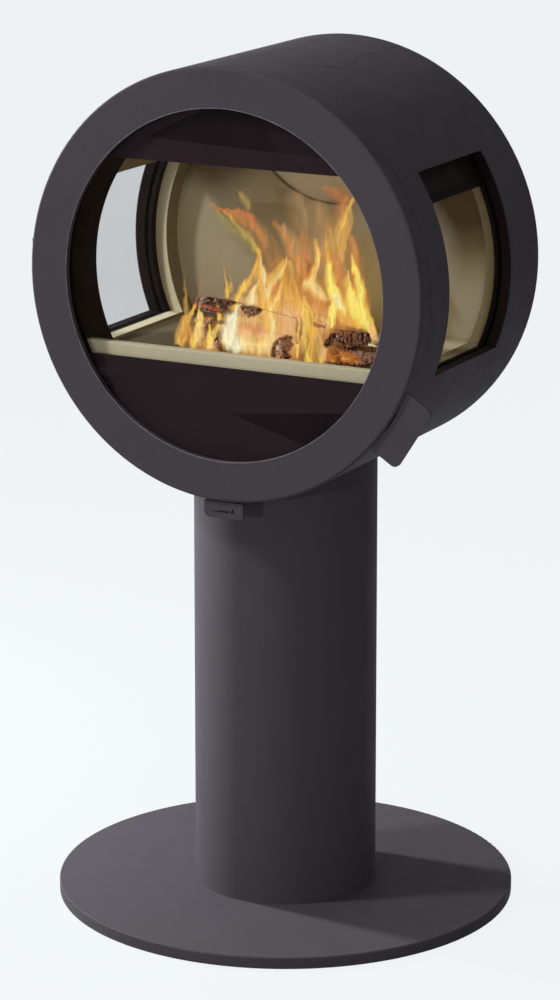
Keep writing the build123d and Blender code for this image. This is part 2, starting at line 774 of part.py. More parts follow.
def hinge_bracket():
    low, top = -KNUCKLE_SPLIT, KNUCKLE_SPLIT
    arm = body_block(HINGE_X - HINGE_LEAF_T, HINGE_ROOT_X, HINGE_Y, BRACKET_END, low, top)
    return arm - long_rod_y(BODY_R) + hinge_bar(KNUCKLE_R, low, top) - hinge_hole(low, top)


def hinge_pin():
    head_r, head_t = 4.0, 2.0
    head_z = KNUCKLE_END + KNUCKLE_GAP
    return hinge_bar(HINGE_PIN_R, -KNUCKLE_END, head_z) + hinge_bar(head_r, head_z, head_z + head_t)


def handle_plate():
    inner_r, rim_depth = 240.0, 40.0
    plate = block(inner_r, PLATE_OUT_R, PLATE_FRONT, PIVOT_Y, -PLATE_HALF, PLATE_HALF)
    plate = fillet(plate.edges().filter_by(Axis.Y).group_by(Axis.X)[-1], PLATE_CORNER_R)
    rim = Pos(0, PLATE_FRONT, 0) * Rot(90, 0, 0) * Cylinder(BODY_R + PLATE_GAP, rim_depth)
    return turned_to(LATCH_ANGLE, plate - rim)


def latch_arm():
    boss_r = 4.2
    tooth_y = FRAME_BACK + 0.5
    tooth_end = tooth_y + TOOTH_T
    lever = tangent_bar(boss_r, ARM_HALF)
    lever += block(PIVOT_R, ARM_OUT_R, PIVOT_Y, PIVOT_Y + PLATE_T, -ARM_HALF, ARM_HALF)
    lever += block(HOOK_OUT_R - HOOK_T, HOOK_OUT_R, PIVOT_Y, tooth_end, -HOOK_HALF, HOOK_HALF)
    lever += block(TOOTH_IN_R, HOOK_OUT_R, tooth_y, tooth_end, -HOOK_HALF, HOOK_HALF)
    return turned_to(LATCH_ANGLE, lever - tangent_bar(PIVOT_PIN_R + FIT, ARM_HALF + THROUGH))


def latch_pin():
    return turned_to(LATCH_ANGLE, tangent_bar(PIVOT_PIN_R, PIVOT_PIN_HALF))


def latch_spring():
    """A coil round the pivot pin, beside the latch arm."""
    wire_r, coil_r = 0.45, 3.3
    coil = Helix(pitch=1.1, height=4.4, radius=coil_r, center=(PIVOT_R, PIVOT_Y, ARM_HALF + 0.9))
    section = Plane(origin=coil @ 0, z_dir=coil % 0) * Circle(wire_r)
    return turned_to(LATCH_ANGLE, sweep(section, path=coil))


NODES = {
    "base_plate": base_plate,
    "levelling_screws": levelling_screws,
    "foot_screws": foot_screws,
    "column_foot_ring": column_foot_ring,
    "column_tube": column_tube,
    "column_head_plate": column_head_plate,
    "body_saddle": body_saddle,
    "saddle_bolts": saddle_bolts,
    "saddle_nuts": saddle_nuts,
    "air_pipe": air_pipe,
    "body_shell": body_shell,
    "top_cover": top_cover,
    "top_cover_seat": top_cover_seat,
    "rear_panel": rear_panel,
    "rear_panel_lugs": panel_lugs,
    "rear_panel_screws": panel_screws,
    "flue_collar": flue_collar,
    "front_frame": front_frame,
    "throat_ring": throat_ring,
    "window_frame_left": lambda: window_frame(-1),
    "window_frame_right": lambda: window_frame(1),
    "window_glass_left": lambda: window_glass(-1),
    "window_glass_right": lambda: window_glass(1),
    "window_seals": window_seals,
    "chamber_roof": chamber_roof,
    "chamber_belly": chamber_belly,
    "chamber_posts": chamber_posts,
    "chamber_back": chamber_back,
    "top_spigot": top_spigot,
    "top_blanking_plate": top_blanking_plate,
    "hearth_plate": hearth_plate,
    "floor_slab": floor_slab,
    "front_bar": front_bar,
    "side_liner_left": lambda: side_liner(-1),
    "side_liner_right": lambda: side_liner(1),
    "back_liner": back_liner,
    "back_liner_plug": back_liner_plug,
    "baffle_slab": baffle_slab,
    "smoke_shelf": smoke_shelf,
    "firewood_logs": firewood_logs,
    "air_box": air_box,
    "air_slide": air_slide,
    "air_lever": air_lever,
    "door_ring": door_ring,
    "door_glass": door_glass,
    "glass_print": glass_print,
    "glass_seal": glass_seal,
    "glass_clips": glass_clips,
    "glass_clip_screws": glass_clip_screws,
    "door_rope": door_rope,
    "door_hinge_leaves": door_hinge_leaves,
    "hinge_bracket": hinge_bracket,
    "hinge_pin": hinge_pin,
    "handle_plate": handle_plate,
    "latch_arm": latch_arm,
    "latch_pin": latch_pin,
    "latch_spring": latch_spring,
}

for name, make in NODES.items():
    export_step(make(), f"parts/{name}.step")
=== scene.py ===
import json
import math
import random

import bpy
import numpy as np
from mathutils import Matrix, Vector, noise


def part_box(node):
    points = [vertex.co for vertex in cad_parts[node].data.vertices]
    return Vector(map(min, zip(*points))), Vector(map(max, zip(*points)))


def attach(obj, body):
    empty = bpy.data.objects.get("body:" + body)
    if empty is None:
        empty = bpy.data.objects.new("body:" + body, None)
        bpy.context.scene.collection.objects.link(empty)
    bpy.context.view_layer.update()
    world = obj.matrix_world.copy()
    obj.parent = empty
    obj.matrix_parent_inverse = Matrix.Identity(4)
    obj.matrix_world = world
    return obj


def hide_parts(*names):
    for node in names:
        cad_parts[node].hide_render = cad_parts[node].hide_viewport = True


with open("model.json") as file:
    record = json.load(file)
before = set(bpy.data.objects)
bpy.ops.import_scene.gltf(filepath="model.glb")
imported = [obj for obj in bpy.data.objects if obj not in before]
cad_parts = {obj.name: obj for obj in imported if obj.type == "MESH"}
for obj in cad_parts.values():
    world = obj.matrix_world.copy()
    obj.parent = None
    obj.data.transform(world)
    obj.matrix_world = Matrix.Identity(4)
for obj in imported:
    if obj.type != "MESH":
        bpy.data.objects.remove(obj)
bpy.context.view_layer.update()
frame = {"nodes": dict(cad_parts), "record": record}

# Places in metres, most taken from the frame; the door opening's and the liners' inner radius are given
RING_LOW, RING_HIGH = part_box("door_ring")
AXIS_Z = (RING_LOW.z + RING_HIGH.z) / 2
FRONT_Y = RING_LOW.y
FLOOR_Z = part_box("floor_slab")[1].z
DOOR_OPENING_R = 0.211
BACK_WALL_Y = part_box("back_liner")[0].y
LINER_IN_R = 0.2214
SHELL_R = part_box("body_shell")[1].x

# Camera: the photograph's viewpoint, with the lens that gives its frame
CAMERA_AT = (1.9361, -3.7395, 1.6178)
CAMERA_TILT = 78.318
CAMERA_TURN = 27.468
LENS_MM = 127.45
SENSOR_MM = 36.0
SHIFT_UP = -0.2
FRAME_WIDE, FRAME_TALL = 560.0, 1000.0

BACKGROUND = (240, 244, 247)
# The floor's brightness as the object sees it, and how much of its look to the camera is lit
FLOOR_BOUNCE = 0.3
FLOOR_LIT = 0.035
# The fill light's strength over the world's X: from and to, then the strengths there
FILL_ACROSS = (-1.0, 0.0, 1.05, 0.271)


# Colour helpers
def srgb(r, g, b):
    """A colour written as 0 to 255 screen values, as linear numbers with full alpha."""
    def linear(v):
        v /= 255.0
        return v / 12.92 if v <= 0.04045 else ((v + 0.055) / 1.055) ** 2.4
    return (linear(r), linear(g), linear(b), 1.0)


def scaled(colour, share):
    """The same colour, darker by the given share."""
    return tuple(c * share for c in colour[:3]) + (1.0,)


class Shader:
    """A node tree with short calls for the nodes that the materials use."""

    def __init__(self, name, kind="Material"):
        self.material = (bpy.data.worlds if kind == "World" else bpy.data.materials).new(name)
        self.material.use_nodes = True
        self.tree = self.material.node_tree
        self.tree.nodes.clear()
        self.output = self.add("Output" + kind)
        self.coords = self.add("TexCoord").outputs["Generated" if kind == "World" else "Object"]

    def add(self, kind, values=None, **settings):
        """A new node of this kind, with its settings and the values of its inputs."""
        node = self.tree.nodes.new("ShaderNode" + kind)
        for key, value in settings.items():
            setattr(node, key, value)
        for key, value in (values or {}).items():
            node.inputs[key].default_value = value
        return node

    def link(self, source, target):
        self.tree.links.new(source, target)

    def fill(self, socket, value):
        """Links a socket to another node's output, or sets it to a number or colour."""
        if isinstance(value, bpy.types.NodeSocket):
            self.link(value, socket)
        else:
            socket.default_value = value

    def noise(self, scale, detail=3.0, roughness=0.5, stretch=None):
        node = self.add("TexNoise", {"Scale": scale, "Detail": detail, "Roughness": roughness})
        self.link(self.stretched(stretch), node.inputs["Vector"])
        return node.outputs["Fac"]

    def cells(self, scale, stretch=None, feature="F1"):
        node = self.add("TexVoronoi", {"Scale": scale}, feature=feature)
        self.link(self.stretched(stretch), node.inputs["Vector"])
        return node.outputs["Distance"]

    def stretched(self, stretch):
        if stretch is None:
            return self.coords
        node = self.add("Mapping", {"Scale": stretch})
        self.link(self.coords, node.inputs["Vector"])
        return node.outputs["Vector"]

    def ramp(self, factor, stops):
        node = self.add("ValToRGB")
        elements = node.color_ramp.elements
        while len(elements) < len(stops):
            elements.new(0.5)
        for element, (position, colour) in zip(elements, stops):
            element.position = position
            element.color = colour
        self.link(factor, node.inputs["Fac"])
        return node.outputs["Color"]

    def math(self, operation, a, b=0.0, clamp=False):
        node = self.add("Math", operation=operation, use_clamp=clamp)
        self.fill(node.inputs[0], a)
        self.fill(node.inputs[1], b)
        return node.outputs[0]

    def remap(self, value, low, high, to_low=0.0, to_high=1.0):
        node = self.add("MapRange", {1: low, 2: high, 3: to_low, 4: to_high}, clamp=True)
        self.link(value, node.inputs[0])
        return node.outputs[0]

    def mix(self, factor, a, b):
        """Colour a where the factor is 0, and b where it is 1."""
        node = self.add("Mix", data_type="RGBA")
        self.fill(node.inputs[0], factor)
        self.fill(node.inputs[6], a)
        self.fill(node.inputs[7], b)
        return node.outputs[2]

    def bump(self, height, distance, strength, normal=None):
        node = self.add("Bump", {"Distance": distance, "Strength": strength})
        self.link(height, node.inputs["Height"])
        if normal is not None:
            self.link(normal, node.inputs["Normal"])
        return node.outputs["Normal"]

    def axis(self, name):
        node = self.add("SeparateXYZ")
        self.link(self.coords, node.inputs[0])
        return node.outputs[name]

    def from_axis(self):
        """Distance from the drum's axis, which runs along Y."""
        height = self.math("SUBTRACT", self.axis("Z"), AXIS_Z)
        return self.math("SQRT", self.math("ADD", self.math("POWER", self.axis("X"), 2.0),
                                           self.math("POWER", height, 2.0)))

    def principled(self, colour, roughness, specular, **settings):
        """The material's main surface, with its further inputs by name."""
        node = self.add("BsdfPrincipled")
        settings.update(Base_Color=colour, Roughness=roughness, Specular_IOR_Level=specular)
        for key, value in settings.items():
            self.fill(node.inputs[key.replace("_", " ")], value)
        self.link(node.outputs[0], self.output.inputs["Surface"])

    def seen_directly(self):
        """1 for the camera's rays, also in mirrors and through glass, and 0 for the light on the object."""
        rays = self.add("LightPath").outputs
        seen = self.math("MAXIMUM", rays["Is Camera Ray"], rays["Is Glossy Ray"])
        return self.math("MAXIMUM", seen, rays["Is Transmission Ray"])

    def blended(self, share, first, second):
        """A surface of two shaders, with the given share of the second."""
        both = self.add("MixShader")
        self.link(share, both.inputs[0])
        self.link(first.outputs[0], both.inputs[1])
        self.link(second.outputs[0], both.inputs[2])
        self.link(both.outputs[0], self.output.inputs["Surface"])


# Materials
def stove_paint(name="stove_paint", black_within=None):
    """Fine matt paint. Inside the given distance from the drum's axis it is the firebox's black."""
    s = Shader(name)
    clouds = s.noise(9.0, 4.0, 0.6)
    speckle = s.noise(900.0, 2.0, 0.7)
    tone = s.mix(s.remap(clouds, 0.3, 0.7), srgb(64, 58, 64), srgb(67, 62, 68))
    colour = s.mix(s.remap(speckle, 0.35, 0.75), tone, srgb(73, 68, 74))
    roughness = s.remap(s.noise(40.0, 3.0), 0.3, 0.7, 0.62, 0.72)
    grain = s.bump(s.noise(1100.0, 2.0, 0.6), 0.00005, 0.5)
    if black_within:
        inside = s.remap(s.from_axis(), black_within - 0.0004, black_within)
        colour = s.mix(inside, srgb(30, 19, 20), colour)
    s.principled(colour, roughness, 0.04, Normal=grain)
    return s.material


def inner_paint():
    s = Shader("inner_paint")
    soot = s.noise(14.0, 5.0, 0.6)
    colour = s.mix(s.remap(soot, 0.35, 0.7), srgb(23, 13, 13), srgb(33, 22, 22))
    roughness = s.remap(s.noise(60.0, 3.0), 0.3, 0.7, 0.6, 0.75)
    s.principled(colour, roughness, 0.06, Normal=s.bump(s.noise(700.0, 2.0), 0.00006, 0.5))
    return s.material


def zinc_steel():
    s = Shader("zinc_steel")
    brushed = s.noise(260.0, 3.0, 0.6, stretch=(1.0, 1.0, 0.06))
    colour = s.mix(s.remap(s.noise(80.0, 3.0), 0.3, 0.7), srgb(150, 150, 150), srgb(186, 186, 182))
    s.principled(colour, s.remap(brushed, 0.3, 0.7, 0.28, 0.45), 0.5, Metallic=1.0,
                 Normal=s.bump(brushed, 0.00004, 0.4))
    return s.material


def fire_board(name, light, dark, tone_patches=(), soot_and_shade_within=None):
    """Pressed mineral board: flakes, pits and soft clouds, with patches of another tone as place, size, share
    and tone, and a darker inner face inside the given radius.
    """
    s = Shader(name)
    clouds = s.noise(7.0, 4.0, 0.55)
    flakes = s.cells(430.0)
    pits = s.noise(650.0, 3.0, 0.7)
    tone = s.mix(s.remap(clouds, 0.3, 0.7), dark, light)
    colour = s.mix(s.remap(flakes, 0.1, 0.75, 0.0, 0.3), tone, scaled(dark, 0.78))
    colour = s.mix(s.remap(pits, 0.62, 0.8, 0.0, 0.25), colour, scaled(dark, 0.6))
    # Patches of another tone; the boards get painted shade, painted light and pale patches
    for place, size, share, patch_tone in tone_patches:
        away = s.add("VectorMath", {1: place}, operation="DISTANCE")
        s.link(s.coords, away.inputs[0])
        spread = s.math("ADD", away.outputs["Value"], s.remap(clouds, 0.3, 0.7, -0.012, 0.012))
        colour = s.mix(s.remap(spread, size * 0.45, size, share, 0.0), colour, patch_tone)
    # Inside the radius the board takes a darker tone: soot, and painted shade on the inner faces
    if soot_and_shade_within:
        outer_edge = s.remap(s.from_axis(), soot_and_shade_within, soot_and_shade_within + 0.0006)
        colour = s.mix(outer_edge, srgb(144, 132, 108), colour)
    surface = s.bump(pits, 0.00012, 0.35, s.bump(flakes, 0.0001, 0.2))
    s.principled(colour, 0.86, 0.15, Normal=surface)
    return s.material


def fire_glass():
    """Clear glass that takes a tenth of the light at each face, with a faint uneven film from the fire."""
    s = Shader("fire_glass")
    clear = s.add("BsdfTransparent", {"Color": (0.900, 0.902, 0.903, 1.0)})
    film = s.add("BsdfDiffuse", {"Color": srgb(120, 108, 96)})
    s.blended(s.remap(s.noise(9.0, 4.0, 0.6), 0.35, 0.7, 0.004, 0.02), clear, film)
    return s.material


def black_print():
    s = Shader("black_print")
    colour = s.mix(s.noise(5.0, 3.0), srgb(41, 29, 34), srgb(46, 34, 39))
    s.principled(colour, 0.5, 0.06)
    return s.material


def glass_rope():
    s = Shader("glass_rope")
    braid = s.cells(520.0)
    s.principled(s.mix(s.remap(braid, 0.1, 0.6), srgb(26, 18, 18), srgb(10, 7, 7)), 0.95, 0.1,
                 Normal=s.bump(braid, 0.0006, 0.8))
    return s.material


def charred_wood():
    s = Shader("charred_wood")
    cracks = s.cells(70.0, stretch=(0.35, 1.0, 1.0), feature="DISTANCE_TO_EDGE")
    fine = s.noise(240.0, 4.0, 0.7)
    colour = s.mix(s.remap(fine, 0.35, 0.7), srgb(16, 12, 11), srgb(74, 60, 50))
    s.principled(colour, 0.9, 0.2, Normal=s.bump(cracks, 0.002, 0.8))
    return s.material


MATERIALS = {
    "outer_paint": stove_paint(),
    "inner_paint": inner_paint(),
    "zinc_steel": zinc_steel(),
    "fire_board": fire_board("fire_board", srgb(236, 226, 194), srgb(226, 214, 180)),
    "fire_glass": fire_glass(),
    "black_print": black_print(),
    "glass_rope": glass_rope(),
    "charred_wood": charred_wood(),
}

# Tones for the boards' patches: painted shade, a pale tone, and painted light
PAINTED_SHADE, PALE_PATCH, PAINTED_LIGHT = srgb(84, 66, 46), srgb(214, 216, 208), srgb(244, 236, 212)

# Nodes whose finish differs from the plain one of their slot
SPECIAL = {
    # The back wall: painted shade at the top left, top right and top middle, a paler patch in the middle as
    # painted light, and a paler patch low at the right
    "back_liner": fire_board("back_board", srgb(188, 177, 146), srgb(176, 163, 132),
                             [((-0.172, BACK_WALL_Y, AXIS_Z + 0.112), 0.075, 0.8, PAINTED_SHADE),
                              ((0.175, BACK_WALL_Y, AXIS_Z + 0.11), 0.15, 0.95, PAINTED_SHADE),
                              ((-0.02, BACK_WALL_Y, AXIS_Z + 0.16), 0.11, 0.3, PAINTED_SHADE),
                              ((0.07, BACK_WALL_Y, AXIS_Z - 0.01), 0.11, 0.9, PALE_PATCH),
                              ((0.18, BACK_WALL_Y, AXIS_Z - 0.09), 0.1, 0.4, PALE_PATCH)]),
    "side_liner_left": fire_board("left_board", srgb(238, 228, 196), srgb(228, 216, 182),
                                  soot_and_shade_within=LINER_IN_R),
    # The right liner is a darker copy of the left one: painted shade
    "side_liner_right": fire_board("shaded_right_board", srgb(162, 149, 118), srgb(148, 134, 104),
                                   soot_and_shade_within=LINER_IN_R),
    # The floor: painted shade over its left part and painted light at its right
    "floor_slab": fire_board("floor_board", srgb(200, 184, 150), srgb(184, 166, 131),
                             [((-0.19, 0.0, FLOOR_Z), 0.3, 0.85, PAINTED_SHADE),
                              ((0.18, 0.04, FLOOR_Z), 0.13, 0.9, PAINTED_LIGHT)]),
    "body_shell": stove_paint("shell_paint", black_within=SHELL_R - 0.0012),
    "baffle_slab": fire_board("baffle_board", srgb(176, 160, 128), srgb(160, 142, 110)),
}


def dress_nodes():
    """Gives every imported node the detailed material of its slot."""
    for part in frame["record"]["subparts"]:
        node = frame["nodes"][part["node"]]
        for slot in node.material_slots:
            slot.material = SPECIAL.get(part["node"], MATERIALS[part["material_slot"]])


# Fire: logs, embers and flames
MM = 0.001

# Length, radius, place (x, y, height above the floor) in millimetres; yaw, roll and pitch in degrees;
# and how much of the cut face shows bare wood that glows with painted firelight
LOGS = [
    (196, 15.5, (4, -28, 15.6), 6, 75, 0, 0.15),
    (150, 12.0, (20, 8, 12.1), 4, -70, 0, 0.0),
    (38, 8.5, (-44, -71, 8.6), 80, 60, 0, 0.1),
    (50, 13.5, (50, -70, 13.6), 72, 50, 0, 0.0),
    (74, 10.0, (124, -73, 10.1), 4, 70, 0, 1.0),
    (44, 12.0, (142, -33, 12.1), 70, -65, 0, 0.0),
    (190, 9.5, (-31, 4, 35.6), -4, 70, 1.5, 0.0),
    (54, 9.0, (119, -66, 31.6), 8, -60, -5, 0.0),
]
# The cut face's place as a share of the radius, the surface's grid, and the length that makes a log long
CUT_AT = 0.45
LOG_SIDES = 56
RING_EVERY = 1.5
LONG_LOG = 100
# The size of the char's blocks along and round the logs, and how far a long log's ends are worn down
BLOCK_LENGTH, LONG_LOG_GIRTH, SHORT_LOG_GIRTH = 5.6, 8.0, 22.0
LONG_LOG_BLUNT = 0.3
# Blender would seed the noise that bends the cracks from the clock
CRACK_SEED = 1795601687


def smooth(value, low, high):
    """Rises softly from 0 at low to 1 at high."""
    t = min(max((value - low) / (high - low), 0.0), 1.0)
    return t * t * (3.0 - 2.0 * t)


def colour_layer(mesh, name, colours):
    """Stores a colour for each point, for the material of that name to read."""
    layer = mesh.color_attributes.new(name, "FLOAT_COLOR", "POINT")
    layer.data.foreach_set("color", [c for colour in colours for c in colour])


def add_object(name, data):
    """A new object in the scene that holds the given mesh, lamp or camera."""
    thing = bpy.data.objects.new(name, data)
    bpy.context.scene.collection.objects.link(thing)
    return thing


def add_mesh(name, points, faces, material):
    mesh = bpy.data.meshes.new(name)
    mesh.from_pydata(points, [], faces)
    mesh.materials.append(material)
    return add_object(name, mesh)


def add_piece(name, points, faces, material, smooth_faces=True, body="root"):
    """A piece of the stove that moves with the given body."""
    piece = add_mesh(name, points, faces, material)
    piece.data.polygons.foreach_set("use_smooth", [smooth_faces] * len(faces))
    piece.data.update()
    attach(piece, body)
    return piece


def log_section(angle, radius):
    """Distance from the middle to the bark or to the cut face; the cut face looks along +Z."""
    towards_cut = math.cos(angle)
    if towards_cut > 0.0:
        return min(radius, CUT_AT * radius / towards_cut)
    return radius


def log_crack(x, angle, radius, seed, girth):
    """How deep a crack in the char is here, 0 to 1, between blocks of the given size round the log."""
    around = Vector((math.cos(angle), math.sin(angle))) * radius
    wander = noise.noise_vector(Vector((x * 0.08, around.x * 0.08, around.y * 0.08 + seed))) * 1.6
    place = Vector((x / BLOCK_LENGTH, around.x / girth, around.y / girth + seed)) + wander * 0.3
    near = noise.voronoi(place)[0]
    return 1.0 - smooth(near[1] - near[0], 0.02, 0.22)


def make_log(number, log, material):
    """A split log in charred blocks, whose points keep crack, low side and lit wood as colours."""
    length, radius, (x, y, height), yaw, roll, pitch, glow = log
    around, rings = LOG_SIDES, max(int(length / RING_EVERY), 20)
    seed = number * 7.3
    blunt, girth = (LONG_LOG_BLUNT, LONG_LOG_GIRTH) if length > LONG_LOG else (0.0, SHORT_LOG_GIRTH)
    turn = (Matrix.Rotation(math.radians(yaw), 4, "Z") @ Matrix.Rotation(math.radians(pitch), 4, "Y")
            @ Matrix.Rotation(math.radians(roll), 4, "X"))
    centre = Vector((x, y, height))
    points, colours, faces = [], [], []
    for ring in range(rings + 1):
        along = (ring / rings - 0.5) * length
        from_end = length / 2 - abs(along)
        for step in range(around):
            angle = 2 * math.pi * step / around
            side, up = math.sin(angle), math.cos(angle)
            crack = log_crack(along, angle, radius, seed, girth)
            rough = noise.noise(Vector((along * 0.12, up * 2, side * 2 + seed)))
            end = noise.noise(Vector((up * 2.5, side * 2.5, seed + (along > 0) * 9)))
            lumps = noise.noise(Vector((along * 0.3, up * 3, side * 3 + seed)))
            worn = 0.06 + 0.09 * rough + 0.08 * lumps + 0.17 * crack * smooth(from_end, 0.0, 2.0)
            worn += 0.25 * (1.0 - smooth(from_end, 0.0, 2.5 + 1.5 * end))
            worn += blunt * (1.0 - smooth(from_end, 0.0, 9.0 + 4.0 * end))
            reach = log_section(angle, radius) * (1.0 - worn)
            shift = (1.5 + 1.5 * end) * (1.0 - smooth(from_end, 0.0, 6.0)) * (-1 if along > 0 else 1)
            at = turn @ Vector((along + shift, reach * side, reach * up))
            points.append((centre + at) * MM + Vector((0, 0, FLOOR_Z)))
            low = 1.0 - smooth(at.z, -radius, -0.1 * radius)
            # Painted firelight: the share of the cut face that shows bare wood lit by the flames
            cut = smooth(up, 0.42, 0.55) * glow
            spots = smooth(noise.noise(Vector((along * 0.11, at.y * 0.1, at.z * 0.2 + seed))), -0.5, -0.15)
            tail = 1.0 - smooth(math.hypot((along + 9.0) / 27.0, at.z / 9.0), 0.75, 1.0)
            colours.append((crack, low, cut * spots * tail, 1.0))
    for ring in range(rings):
        for step in range(around):
            a, b = ring * around + step, ring * around + (step + 1) % around
            faces.append((a, a + around, b + around, b))
    for first, far_end in ((0, False), (rings * around, True)):
        middle = len(points)
        points.append(sum((Vector(points[first + s]) for s in range(around)), Vector()) / around)
        colours.append((0.3, 0.5, 0.0, 1.0))
        for step in range(around):
            a, b = first + step, first + (step + 1) % around
            faces.append((middle, b, a) if far_end else (middle, a, b))
    piece = add_piece(f"charred_log_{number + 1}", points, faces, material)
    colour_layer(piece.data, "char", colours)
    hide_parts("firewood_logs")


def charred_log_material():
    """Black and brown char, with pale ash and painted glints on the crests, dark cracks of black char and
    painted shade, embers low in the cracks, and some bare wood that glows with painted firelight.
    """
    s = Shader("charred_log")
    layer = s.add("Attribute", attribute_name="char")
    parts = s.add("SeparateColor")
    s.link(layer.outputs["Color"], parts.inputs[0])
    crack, low, lit = parts.outputs
    fibres = s.noise(420.0, 4.0, 0.65)
    patches = s.noise(75.0, 3.0, 0.6)
    body = s.ramp(fibres, [(0.3, srgb(56, 22, 14)), (0.48, srgb(142, 84, 62)), (0.68, srgb(190, 146, 122))])
    crest = s.mix(s.remap(patches, 0.52, 0.66, 0.0, 0.8), body, srgb(164, 142, 132))
    # Painted highlight: small whitish glints on the crests, away from the cracks
    glints = s.math("MULTIPLY", s.remap(s.noise(330.0, 2.0), 0.6, 0.68, 0.0, 0.8), s.remap(crack, 0.5, 0.2))
    crest = s.mix(glints, crest, srgb(222, 210, 204))
    # Darker deep in the cracks: black char, with painted shade in them
    dark = s.mix(s.remap(crack, 0.25, 0.9), crest, srgb(16, 7, 6))
    grain = s.noise(110.0, 2.0, 0.5)
    # Bare wood on the cut face, golden as if lit by the flames: painted firelight
    wood = s.ramp(grain, [(0.34, srgb(122, 72, 30)), (0.5, srgb(176, 118, 50)), (0.68, srgb(224, 176, 92))])
    colour = s.mix(lit, dark, wood)
    ember = s.math("MULTIPLY", s.remap(crack, 0.35, 0.9), s.remap(low, 0.25, 0.8))
    ember = s.math("MULTIPLY", ember, s.remap(patches, 0.5, 0.62))
    glow = s.ramp(s.noise(160.0, 3.0), [(0.3, srgb(150, 30, 8)), (0.6, srgb(240, 110, 30))])
    # Painted firelight: the lit wood glows in its own colour, beside the embers
    glow = s.mix(s.math("MULTIPLY", lit, 0.75), glow, wood)
    strength = s.math("MAXIMUM", s.math("MULTIPLY", ember, 0.9), s.math("MULTIPLY", lit, 0.45))
    surface = s.bump(fibres, 0.0006, 0.7, s.bump(crack, 0.0006, 0.6))
    s.principled(colour, s.remap(fibres, 0.3, 0.7, 0.75, 0.95), 0.25, Normal=surface,
                 Emission_Color=glow, Emission_Strength=strength)
    s.material.cycles.emission_sampling = "NONE"
    return s.material


def ember_bed_material():
    s = Shader("ember_bed")
    lumps = s.cells(230.0, feature="DISTANCE_TO_EDGE")
    dust = s.noise(520.0, 4.0, 0.7)
    patches = s.noise(48.0, 3.0, 0.6)
    ash = s.mix(s.remap(dust, 0.3, 0.7), srgb(74, 60, 50), srgb(150, 134, 118))
    coal = s.mix(s.remap(dust, 0.3, 0.75), srgb(18, 10, 9), srgb(60, 40, 32))
    colour = s.mix(s.remap(patches, 0.44, 0.56), coal, ash)
    hot = s.math("MULTIPLY", s.remap(lumps, 0.0, 0.09, 0.9, 0.0), s.remap(patches, 0.52, 0.42))
    glow = s.ramp(dust, [(0.3, srgb(190, 50, 12)), (0.7, srgb(255, 160, 50))])
    s.principled(colour, 0.95, 0.1, Normal=s.bump(lumps, 0.0015, 0.8),
                 Emission_Color=glow, Emission_Strength=hot)
    s.material.cycles.emission_sampling = "NONE"
    return s.material


# The ember bed's grid, in millimetres from the drum's middle
BED_STEP, BED_ACROSS, BED_DEEP = 2.0, (-96, 168), (-84, 44)


def make_ember_bed():
    """Ash and broken embers in a low heap under and round the logs."""
    step, (x0, x1), (y0, y1) = BED_STEP, BED_ACROSS, BED_DEEP
    across, deep = int((x1 - x0) / step) + 1, int((y1 - y0) / step) + 1
    heights, points = [], []
    for j in range(deep):
        for i in range(across):
            x, y = x0 + i * step, y0 + j * step
            rim = 1.0 - math.hypot((x - 36) / 128, (y + 22) / 62) ** 3
            rim += 0.25 * noise.noise(Vector((x * 0.05, y * 0.05, 3.0)))
            near = noise.voronoi(Vector((x / 7.0, y / 7.0, 1.5)))[0]
            uneven = 0.5 + 0.5 * noise.noise(Vector((x / 9, y / 9, 8.0)))
            lump = smooth(near[1] - near[0], 0.0, 0.5) * uneven
            height = smooth(rim, 0.0, 0.5) * (0.8 + 4.2 * lump)
            heights.append(height if rim > 0.0 else 0.0)
            points.append((x * MM, y * MM, FLOOR_Z + max(height, 0.1) * MM))
    faces = [cell for cell in grid_cells(across, deep) if min(heights[c] for c in cell) > 0.05]
    points, faces, _ = kept_points(points, faces)
    add_piece("ember_bed", points, faces, ember_bed_material())


def grid_cells(across, down):
    """The corners of each cell of a grid, row by row."""
    for first in (j * across + i for j in range(down - 1) for i in range(across - 1)):
        yield first, first + 1, first + across + 1, first + across


def kept_points(points, faces, colours=None):
    """Drops the points that no face uses."""
    used = sorted({corner for face in faces for corner in face})
    place = {old: new for new, old in enumerate(used)}
    faces = [tuple(place[corner] for corner in face) for face in faces]
    return [points[u] for u in used], faces, [colours[u] for u in used] if colours else None


# The flames are drawn on an enlarged view of the fire: x, y and half width in the enlargement's units
DRAWN_AT = (150.0, 180.0)
ENLARGED = 6.817

HAZE, TAN, RED = (176, 140, 96), (196, 150, 96), (206, 112, 56)
ORANGE, AMBER, YELLOW = (212, 134, 62), (236, 178, 70), (248, 216, 88)
BRIGHT, PALE, PINK = (250, 238, 120), (248, 218, 138), (232, 178, 116)
WHITE, CORE = (252, 240, 186), (252, 250, 204)
OCHRE, OLIVE, SMOKE, BROWN = (208, 166, 80), (150, 136, 72), (122, 92, 60), (134, 84, 46)

# All strokes are this much broader than they are written, because their edges fade
BROADER = 1.65
# The least half width, the spacing of a curve's rows, and the distance given to places that no row is near
THINNEST = 1.5
ROW_EVERY = 9.0
FAR_OFF = 9.0

